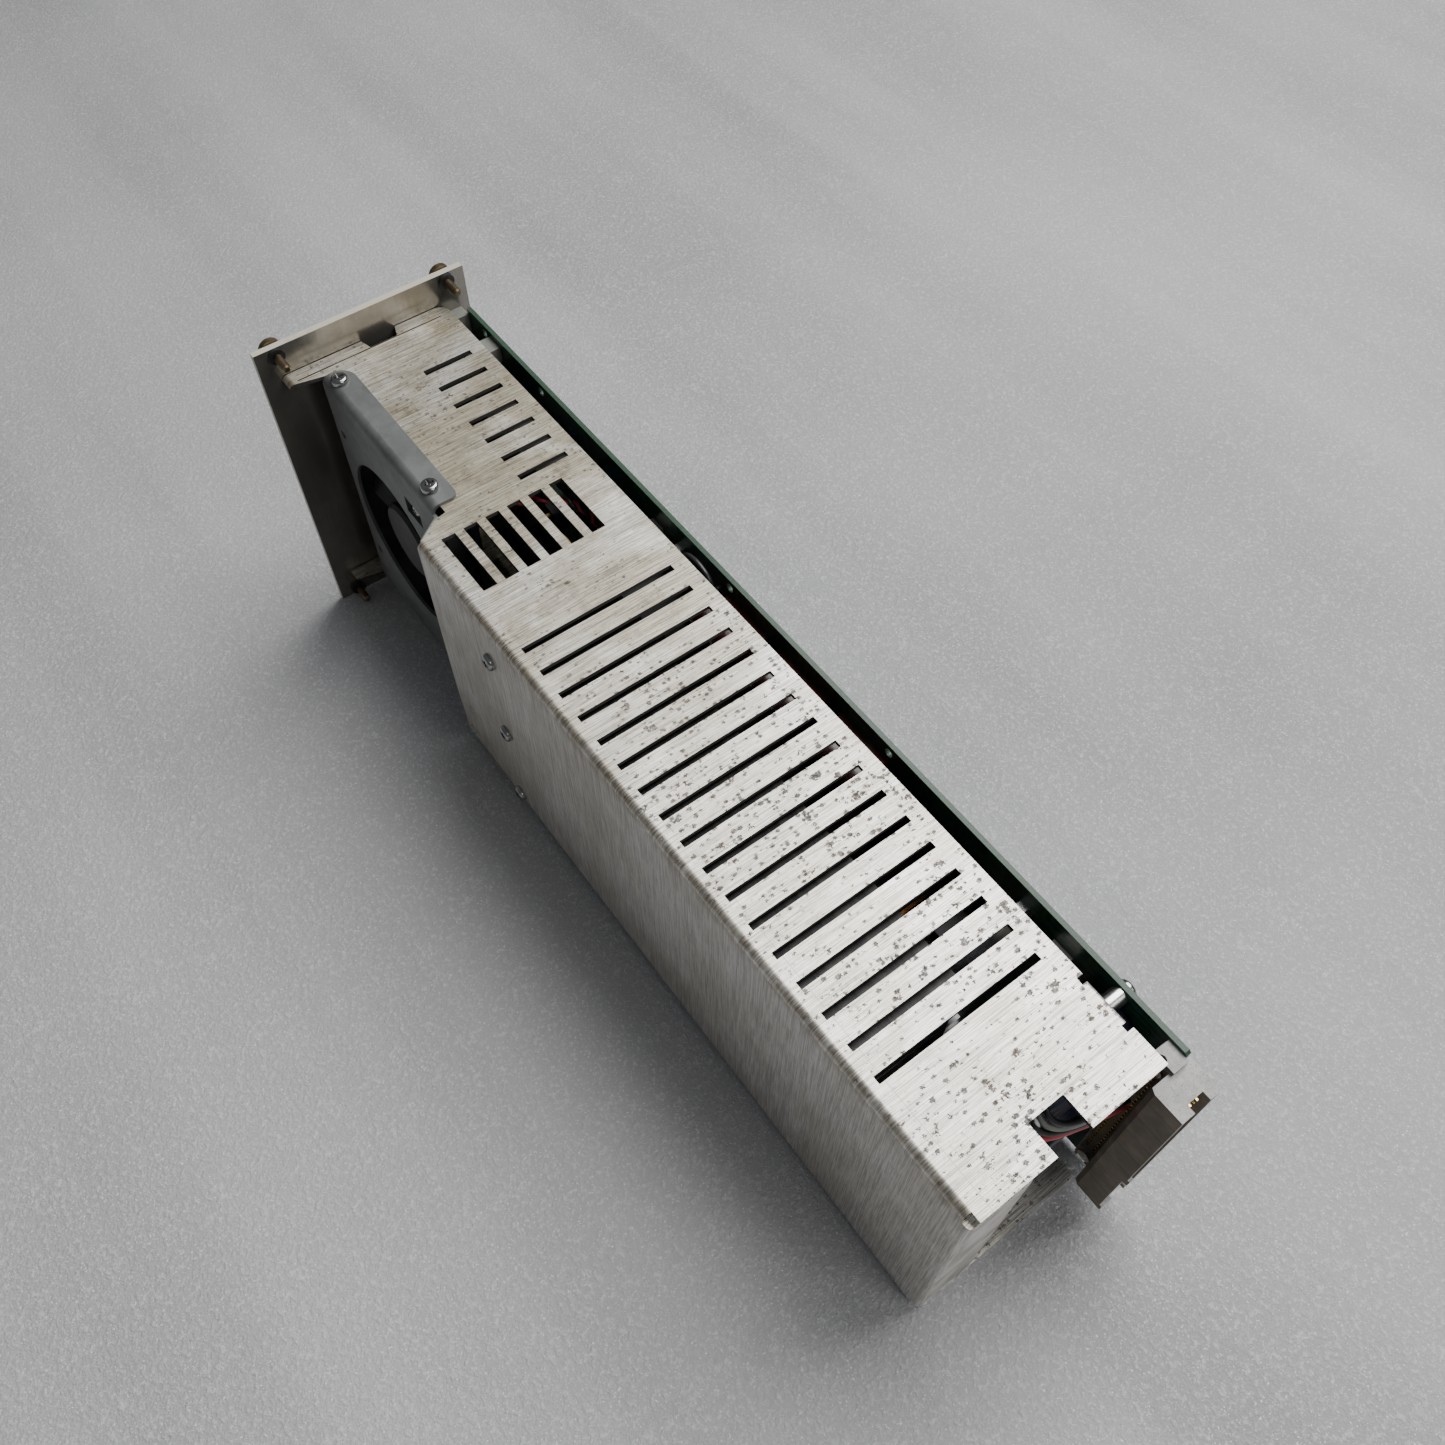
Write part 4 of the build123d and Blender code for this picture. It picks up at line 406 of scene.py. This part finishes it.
def circuit_board():
    """Green mask over copper tracks on the faces, paler laminate on the cut edges."""
    m = Shade("board_green", Coat_Weight=0.35, Coat_Roughness=0.2)
    flat = m.step(m.math("ABSOLUTE", m.facing("X")), 0.6, 0.9)
    rings = m.math("FRACT", m.math("MULTIPLY", m.cells(TRACK_CELLS, metric="CHEBYCHEV"), TRACK_RINGS))
    routed = m.step(m.noise(34.0, detail=1.0, shift=2.0), 0.44, 0.5)
    off_centre = m.math("ABSOLUTE", m.math("SUBTRACT", rings, 0.5))
    track = m.math("MULTIPLY", m.step(off_centre, 0.24, 0.30), routed)
    mask = m.mix(track, (0.006, 0.045, 0.022), (0.016, 0.085, 0.040))
    weave = m.noise(1.0, (2600, 2600, 700), 2.0)
    edge = m.mix(m.step(weave, 0.35, 0.7), (0.010, 0.040, 0.020), (0.030, 0.085, 0.042))
    m.color(m.mix(flat, edge, mask))
    m.rough(m.blend(flat, 0.62, m.spread(m.noise(400.0, detail=3.0), 0.26, 0.40)))
    m.relief(track, 0.00004, 0.5)
    m.relief(m.noise(1500.0, detail=2.0), 0.00002, 0.3)
    return m.material


def anodised_black():
    """Extruded and black anodised: faint lines along the extrusion, dust on top."""
    m = Shade("black_anodised", metallic=0.5)
    lines = m.noise(1.0, (900, 25, 900), 3.0, 0.6)
    dust = m.math("MULTIPLY", m.step(m.facing("Z"), 0.5, 0.95), m.step(m.noise(220.0, detail=5.0), 0.4, 0.75))
    base = m.mix(m.step(lines, 0.3, 0.7), (0.010, 0.010, 0.011), (0.035, 0.034, 0.033))
    m.color(m.mix(m.math("MULTIPLY", dust, 0.5), base, (0.10, 0.09, 0.08)))
    m.rough(m.spread(lines, 0.35, 0.6))
    m.relief(lines, 0.00003, 0.4)
    return m.material


SLEEVE_LIP = 1.2 * MM


def capacitor_skin():
    """Dark shrink sleeve with a bare aluminium end."""
    m = Shade("capacitor_sleeve")
    end_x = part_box("bulk_capacitors")[1].x
    bare = m.step(m.axis("X"), end_x - SLEEVE_LIP, end_x - SLEEVE_LIP + 0.3 * MM)
    brushed = m.noise(1.0, (300, 900, 900), 3.0)
    sleeve = m.mix(m.step(m.noise(60.0), 0.3, 0.7), (0.010, 0.014, 0.030), (0.020, 0.026, 0.050))
    m.color(m.mix(bare, sleeve, m.mix(brushed, (0.55, 0.54, 0.53), (0.82, 0.81, 0.80))))
    m.feed(m.surface.inputs["Metallic"], bare)
    m.rough(m.blend(bare, m.spread(m.noise(500.0), 0.22, 0.36), m.spread(brushed, 0.25, 0.42)))
    m.relief(m.noise(1200.0, detail=2.0), 0.00002, 0.3)
    return m.material


def tinted_lamp():
    """Diffused resin of the indicator lamps."""
    m = Shade("led_resin", Transmission_Weight=0.35, IOR=1.5)
    m.color(m.mix(m.step(m.noise(600.0), 0.3, 0.7), (0.05, 0.32, 0.06), (0.10, 0.45, 0.10)))
    m.rough(m.spread(m.noise(900.0, shift=1.0), 0.14, 0.26))
    m.relief(m.noise(1600.0), 0.00001, 0.2)
    return m.material


# each plated_metal and moulded_plastic takes a dark and a light colour, then the range of its roughness
FINISHES = {
    "case_aluminium": case_aluminium(),
    "panel_aluminium": panel_finish(),
    "galvanised_steel": galvanised_steel(),
    "screw_brass": plated_metal("screw_brass", (0.16, 0.125, 0.075), (0.30, 0.235, 0.145), 0.3, 0.5),
    "zinc_screw": plated_metal("zinc_screw", (0.26, 0.26, 0.255), (0.50, 0.50, 0.49), 0.12, 0.26),
    "bright_metal": plated_metal("bright_metal", (0.52, 0.51, 0.49), (0.80, 0.79, 0.77), 0.14, 0.34),
    "contact_gold": plated_metal("contact_gold", (0.60, 0.42, 0.14), (0.86, 0.66, 0.28), 0.18, 0.3),
    "copper_winding": plated_metal("copper_winding", (0.34, 0.13, 0.05), (0.55, 0.24, 0.09), 0.2, 0.35),
    "black_plastic": moulded_plastic("black_plastic", (0.010, 0.010, 0.011), (0.022, 0.022, 0.023)),
    "chip_black": moulded_plastic("chip_black", (0.014, 0.014, 0.015), (0.030, 0.030, 0.031), 0.4, 0.6),
    "relay_case": moulded_plastic("relay_case", (0.030, 0.030, 0.034), (0.060, 0.060, 0.066), 0.3, 0.5),
    "light_grey_plastic": moulded_plastic("light_grey_plastic", (0.17, 0.175, 0.155), (0.27, 0.27, 0.24)),
    "connector_grey": shroud_with_painted_shade(),
    "board_green": circuit_board(),
    "black_anodised": anodised_black(),
    "capacitor_sleeve": capacitor_skin(),
    "film_red": moulded_plastic("film_red", (0.025, 0.004, 0.004), (0.050, 0.007, 0.006), 0.12, 0.28),
    "ferrite": moulded_plastic("ferrite", (0.045, 0.045, 0.047), (0.085, 0.085, 0.088), 0.5, 0.7),
    "fuse_ceramic": moulded_plastic("fuse_ceramic", (0.60, 0.58, 0.53), (0.74, 0.72, 0.67), 0.3, 0.45),
    "wire_red": moulded_plastic("wire_red", (0.36, 0.034, 0.042), (0.52, 0.075, 0.080), 0.25, 0.4),
    "wire_black": moulded_plastic("wire_black", (0.010, 0.010, 0.011), (0.024, 0.024, 0.025), 0.25, 0.4),
    "wire_yellow": moulded_plastic("wire_yellow", (0.42, 0.30, 0.05), (0.62, 0.47, 0.10), 0.25, 0.4),
    "led_resin": tinted_lamp(),
    "trimmer_blue": moulded_plastic("trimmer_blue", (0.02, 0.07, 0.28), (0.04, 0.12, 0.40), 0.25, 0.4),
    "button_red": moulded_plastic("button_red", (0.34, 0.02, 0.02), (0.50, 0.04, 0.03), 0.3, 0.45),
}

NODE_SLOTS = {entry["node"]: entry["material_slot"] for entry in frame["record"]["subparts"]}
for node_name, node_object in nodes.items():
    node_object.data.materials.clear()
    node_object.data.materials.append(FINISHES[NODE_SLOTS[node_name]])


# ---------------------------------------------------------------- modelled detail
def at(inboard, behind, below):
    """A place given in mm inboard of the plain side, behind the panel and below the top sheet."""
    return Vector((SIDE_X - inboard * MM, PANEL_BACK + behind * MM, CASE_TOP - below * MM))


def piece(name, mesh, slot, body="chassis"):
    """Puts a mesh in the scene as a piece that rides a body and takes a slot's finish."""
    made = bpy.data.objects.new(name, mesh)
    bpy.context.scene.collection.objects.link(made)
    mesh.materials.append(FINISHES[slot])
    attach(made, body)
    return made


def smooth_route(points, steps):
    """Catmull-Rom curve through the points."""
    ends = [2 * points[0] - points[1]] + list(points) + [2 * points[-1] - points[-2]]
    curve = []
    for before, here, after, beyond in zip(ends, ends[1:], ends[2:], ends[3:]):
        for k in range(steps):
            t = k / steps
            curve.append(
                0.5
                * (
                    2 * here
                    + (after - before) * t
                    + (2 * before - 5 * here + 4 * after - beyond) * t * t
                    + (3 * here - before - 3 * after + beyond) * t ** 3
                )
            )
    curve.append(points[-1])
    return curve


def frames_along(curve):
    """Each point of a curve with its two sideways directions, turned as little as possible."""
    side = (curve[1] - curve[0]).orthogonal().normalized()
    frames = []
    for k, here in enumerate(curve):
        ahead = (curve[min(k + 1, len(curve) - 1)] - curve[max(k - 1, 0)]).normalized()
        side = (side - ahead * side.dot(ahead)).normalized()
        frames.append((here, side, ahead.cross(side)))
    return frames


def mesh_from(name, bm):
    """Ends a bmesh as a smooth-shaded mesh."""
    bmesh.ops.recalc_face_normals(bm, faces=bm.faces)
    mesh = bpy.data.meshes.new(name)
    bm.to_mesh(mesh)
    bm.free()
    mesh.shade_smooth()
    return mesh


def ring_points(centre, side, up, radius, count):
    """Points evenly round a circle."""
    turns = [2 * math.pi * k / count for k in range(count)]
    return [centre + radius * (math.cos(a) * side + math.sin(a) * up) for a in turns]


def skin(bm, rings):
    """Closes a row of rings into a solid with flat ends."""
    sides = len(rings[0])
    for ring, following in zip(rings, rings[1:]):
        for k in range(sides):
            bm.faces.new((ring[k], ring[(k + 1) % sides], following[(k + 1) % sides], following[k]))
    bm.faces.new(list(reversed(rings[0])))
    bm.faces.new(rings[-1])


def tube(bm, curve, radius, sides=10):
    """A closed round tube along a curve."""
    rings = []
    for here, side, up in frames_along(curve):
        rings.append([bm.verts.new(place) for place in ring_points(here, side, up, radius, sides)])
    skin(bm, rings)


def spun(bm, centre, along, profile, sides):
    """Adds a turned shape: profile is (distance along, radius) pairs in metres."""
    across = along.orthogonal().normalized()
    other = along.cross(across)
    rings = []
    for reach, radius in profile:
        places = ring_points(centre + along * reach, across, other, radius, sides)
        rings.append([bm.verts.new(place) for place in places])
    skin(bm, rings)


FAN_LEAD_R = 0.62 * MM
FAN_LEAD_LAY = 0.72 * MM
FAN_LEAD_TWIST = 0.30
FAN_LEAD_STEPS = 26


def twisted_pair():
    """Red and black fan leads twisted round each other, from the fan to its header."""
    header_low, header_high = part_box("fan_header")
    fan_low, fan_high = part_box("fan_frame")
    start = Vector((fan_low.x, PANEL_BACK + 53.0 * MM, (fan_low.z + fan_high.z) / 2 + 9.5 * MM))
    end = Vector((header_high.x, (header_low.y + header_high.y) / 2, (header_low.z + header_high.z) / 2))
    middle = [
        at(30.9, 53.0, 42.5),
        at(32.0, 62.0, 33.5),
        at(32.6, 74.0, 23.5),
        at(37.0, 86.0, 13.6),
        at(43.0, 93.5, 8.2),
        at(49.5, 100.5, 6.2),
        at(53.0, 108.0, 7.0),
        at(54.5, 115.0, 9.4),
        at(57.5, 121.0, 12.2),
    ]
    route = smooth_route([start] + middle + [end], FAN_LEAD_STEPS)
    for name, phase, slot in (("red", 0.0, "wire_red"), ("black", math.pi, "wire_black")):
        strand = []
        for k, (here, side, up) in enumerate(frames_along(route)):
            turn = phase + k * FAN_LEAD_TWIST
            strand.append(here + FAN_LEAD_LAY * (math.cos(turn) * side + math.sin(turn) * up))
        bm = bmesh.new()
        tube(bm, strand, FAN_LEAD_R)
        lead = piece("fan_lead_%s_twisted" % name, mesh_from("fan_lead_%s" % name, bm), slot)
        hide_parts("fan_lead_%s" % name)


POWER_LEAD_R = 0.85 * MM
POWER_LEAD_STEPS = 12
POWER_LEAD_SLOTS = ("wire_black", "light_grey_plastic", "wire_black", "wire_red")
POWER_LEAD_DROP = 10.0
POWER_LEAD_PITCH = 3.4


def rear_wiring():
    """Power leads between the capacitors and the rear connector, seen through the rear cutout."""
    low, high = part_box("rear_connector_body")
    tail_x = high.x - 3.0 * MM
    tail_y = low.y + 2.2 * MM
    for k, slot in enumerate(POWER_LEAD_SLOTS):
        drop = POWER_LEAD_DROP + POWER_LEAD_PITCH * k
        points = [
            at(52.0 - 2.0 * k, 312.0 + 2.0 * k, drop + 6.0),
            at(46.0 - 2.5 * k, 322.0, drop),
            at(38.0 - 1.5 * k, 335.0, drop - 2.0),
            at(37.0 - 0.8 * k, 342.0, drop + 2.5),
            at(45.0 + 0.6 * k, 346.0, drop + 7.0),
            Vector((tail_x, tail_y + 0.6 * MM * k, CASE_TOP - (drop + 9.0) * MM)),
        ]
        bm = bmesh.new()
        tube(bm, smooth_route(points, POWER_LEAD_STEPS), POWER_LEAD_R)
        name = "power_lead_%d" % k
        piece(name, mesh_from(name, bm), slot)


PIN_PITCH = 2.54 * MM
CONTACT_ROWS = 2
CONTACTS_PER_ROW = 32
CONTACT_ROW_BEHIND = 346.8 * MM
SOLDERED_PARTS = 46
# pins in a row and the gap to the second row, in mm
PIN_GROUPS = ((1, 10.16), (2, 7.62), (3, 5.08), (7, 7.62), (8, 7.62), (4, 15.24))
JOINT_SPACING = 1.9 * MM
JOINT_SIDES = 12
# distance out of the board and radius, in mm
JOINT_PROFILE = ((-0.05, 0.95), (0.08, 0.85), (0.30, 0.48), (0.55, 0.30), (0.95, 0.26), (1.0, 0.16))


def in_mm(profile):
    """A (distance along, radius) profile given in mm, in metres."""
    return [(reach * MM, radius * MM) for reach, radius in profile]


def contact_joints():
    """Places of the rear connector's two rows of solder joints."""
    low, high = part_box("rear_connector_contacts")
    middle = (low.z + high.z) / 2
    first = (CONTACTS_PER_ROW - 1) / 2
    rows = [PANEL_BACK + CONTACT_ROW_BEHIND + PIN_PITCH * row for row in range(CONTACT_ROWS)]
    return [(y, middle + (k - first) * PIN_PITCH) for y in rows for k in range(CONTACTS_PER_ROW)]


def part_joints(rng):
    """Places of the solder joints of other parts: pin groups on the board's 2.54 mm grid."""
    spots = []
    for _ in range(SOLDERED_PARTS):
        y = BOARD_LOW.y + 14.0 * MM + PIN_PITCH * rng.randrange(120)
        z = BOARD_LOW.z + 9.0 * MM + PIN_PITCH * rng.randrange(30)
        count, gap = rng.choice(PIN_GROUPS)
        for k in range(count):
            for side in (0.0, gap * MM):
                if rng.random() < 0.5 and count == 1:
                    spots.append((y + side, z))
                else:
                    spots.append((y + PIN_PITCH * k, z + side))
    return spots


def solder_side():
    """Solder fillets with clipped leads on the board's outer face, in the parts' own rows."""
    front, back = BOARD_LOW.y + 8.0 * MM, BOARD_HIGH.y
    bottom, top = BOARD_LOW.z + 3.0 * MM, BOARD_HIGH.z - 3.0 * MM
    kept = []
    for y, z in contact_joints() + part_joints(random.Random(11)):
        inside = front < y < back and bottom < z < top
        clear = all(abs(y - a) > JOINT_SPACING or abs(z - b) > JOINT_SPACING for a, b in kept)
        if inside and clear:
            kept.append((y, z))
    bm = bmesh.new()
    for y, z in kept:
        spun(bm, Vector((BOARD_LOW.x, y, z)), Vector((-1, 0, 0)), in_mm(JOINT_PROFILE), JOINT_SIDES)
    piece("solder_joints", mesh_from("solder_joints", bm), "bright_metal")


# distance along the body and radius, in mm
RESISTOR_PROFILE = (
    (0.0, 0.3), (0.1, 0.9), (0.7, 1.2), (1.4, 1.0), (4.9, 1.0), (5.6, 1.2), (6.2, 0.9), (6.3, 0.3),
)
RESISTOR_SIDES = 14
RESISTOR_STANDOFF = 1.7 * MM
RESISTOR_COLUMNS = 9
RESISTOR_ROWS = 5
RESISTOR_LEAD_R = 0.28 * MM
RESISTOR_LEAD_SIDES = 8
RESISTOR_KNEE = 0.4 * MM


def resistor_lead(bm, end, way):
    """A lead that runs on from the body's end, bends once and goes into the board."""
    knee = end + way * 1.9 * MM
    foot = Vector((BOARD_HIGH.x - 0.2 * MM, knee.y, knee.z))
    route = [end, knee - way * RESISTOR_KNEE, knee - Vector((RESISTOR_KNEE, 0, 0)), foot]
    tube(bm, route, RESISTOR_LEAD_R, RESISTOR_LEAD_SIDES)


def axial_parts():
    """Resistors on bent leads across the free front part of the board's inner face."""
    rng = random.Random(5)
    profile = in_mm(RESISTOR_PROFILE)
    bodies = bmesh.new()
    leads = bmesh.new()
    up = Vector((0, 0, 1))
    for column in range(RESISTOR_COLUMNS):
        for row in range(RESISTOR_ROWS):
            if rng.random() < 0.25:
                continue
            y = PANEL_BACK + (32.0 + 7.6 * column) * MM
            z = BOARD_LOW.z + (8.0 + 18.0 * row) * MM + PIN_PITCH * rng.randrange(2)
            start = Vector((BOARD_HIGH.x + RESISTOR_STANDOFF, y, z))
            spun(bodies, start, up, profile, RESISTOR_SIDES)
            resistor_lead(leads, start, -up)
            resistor_lead(leads, start + profile[-1][0] * up, up)
    piece("resistor_bodies", mesh_from("resistor_bodies", bodies), "trimmer_blue")
    piece("resistor_leads", mesh_from("resistor_leads", leads), "bright_metal")


twisted_pair()
rear_wiring()
solder_side()
axial_parts()


# ---------------------------------------------------------------- floor, camera and light
# turn of the painted reflection bands on the floor
FLOOR_LIGHT_BAND_TURN = math.radians(53.0)
FLOOR_REACH = 4.0
FLOOR_TOUCH = 4.0 * MM
FLOOR_SINK = 0.4 * MM
FLOOR_ENDS = 12.0 * MM
LENS = 32.9
CAMERA_PITCH = math.radians(56.50)
CAMERA_TURN = math.radians(36.98)
CAMERA_ROLL = math.radians(0.31)


def foam_sheet():
    """Pale packing foam with fine pores; soft lighter bands painted in as reflected light, and small bright
    glints painted in as highlights.
    """
    m = Shade("floor_sheet")
    pores = m.noise(620.0, detail=4.0, rough=0.7)
    cloud = m.noise(4.0, detail=3.0)
    # painted reflection: soft lighter bands of reflected light across the floor
    painted_light_bands = m.noise(1.0, (9.0, 0.8, 1.0), 4.0, 0.6, turn=(0, 0, FLOOR_LIGHT_BAND_TURN))
    base = m.mix(m.step(cloud, 0.3, 0.7), (0.34, 0.34, 0.345), (0.42, 0.42, 0.43))
    base = m.mix(m.math("MULTIPLY", m.step(painted_light_bands, 0.35, 0.65), 0.45), base, (0.60, 0.60, 0.61))
    # painted highlights: bright glints over the pores and in a fine sparkle, painted into the floor's colour
    painted_sparkle = m.step(m.noise(1500.0, detail=2.0, rough=0.6, shift=4.0), 0.60, 0.68)
    painted_glints = m.math("MAXIMUM", m.math("MULTIPLY", m.step(pores, 0.50, 0.66), 0.45), painted_sparkle)
    m.color(m.mix(painted_glints, base, (0.84, 0.84, 0.86)))
    m.rough(m.spread(pores, 0.50, 0.25))
    m.relief(pores, 0.0012, 0.9)
    return m.material


def floor():
    """A sheet under the lower panel screws and the rear bottom edge of the case."""
    front = cad_bounds[0].y
    slope = CASE_LOW.z / (CASE_HIGH.y - front - FLOOR_ENDS)
    corners = [(-1, -1), (1, -1), (1, 1), (-1, 1)]
    corners = [(x * FLOOR_REACH, y * FLOOR_REACH) for x, y in corners]
    points = [(x, y, slope * (y - front - FLOOR_TOUCH) - FLOOR_SINK) for x, y in corners]
    mesh = bpy.data.meshes.new("floor")
    mesh.from_pydata(points, [], [(0, 1, 2, 3)])
    mesh.materials.append(foam_sheet())
    plane = bpy.data.objects.new("floor", mesh)
    bpy.context.scene.collection.objects.link(plane)


def camera():
    """Looks down along the case from above its rear end, on the plain side."""
    data = bpy.data.cameras.new("camera")
    data.lens = LENS
    data.sensor_width = 36.0
    data.clip_start = 0.01
    eye = bpy.data.objects.new("camera", data)
    bpy.context.scene.collection.objects.link(eye)
    level = math.cos(CAMERA_PITCH)
    ahead = Vector((-math.sin(CAMERA_TURN) * level, -math.cos(CAMERA_TURN) * level, -math.sin(CAMERA_PITCH)))
    eye.rotation_mode = "QUATERNION"
    eye.rotation_quaternion = ahead.to_track_quat("-Z", "Y") @ Quaternion((0, 0, 1), CAMERA_ROLL)
    eye.location = (SIDE_X + 88.1 * MM, PANEL_BACK + 371.2 * MM, CASE_TOP + 314.0 * MM)
    bpy.context.scene.camera = eye


def area_light(name, place, aim, size, power):
    """A round soft light turned to a point."""
    data = bpy.data.lights.new(name, "AREA")
    data.shape = "DISK"
    data.size = size
    data.energy = power
    lamp = bpy.data.objects.new(name, data)
    bpy.context.scene.collection.objects.link(lamp)
    lamp.location = place
    lamp.rotation_mode = "QUATERNION"
    lamp.rotation_quaternion = (Vector(aim) - Vector(place)).to_track_quat("-Z", "Y")


def lighting():
    """A large soft light overhead, a weaker one from behind and a dim sky."""
    area_light("overhead", (-0.72, -0.12, 1.35), (0, 0, 0.05), 1.3, 32.0)
    area_light("fill", (-0.35, 1.5, 1.3), (-0.1, 0.2, 0.05), 1.2, 9.5)
    world = bpy.data.worlds.new("studio")
    world.use_nodes = True
    backdrop = world.node_tree.nodes["Background"]
    backdrop.inputs["Color"].default_value = (0.80, 0.82, 0.85, 1.0)
    backdrop.inputs["Strength"].default_value = 0.16
    bpy.context.scene.world = world


floor()
camera()
lighting()
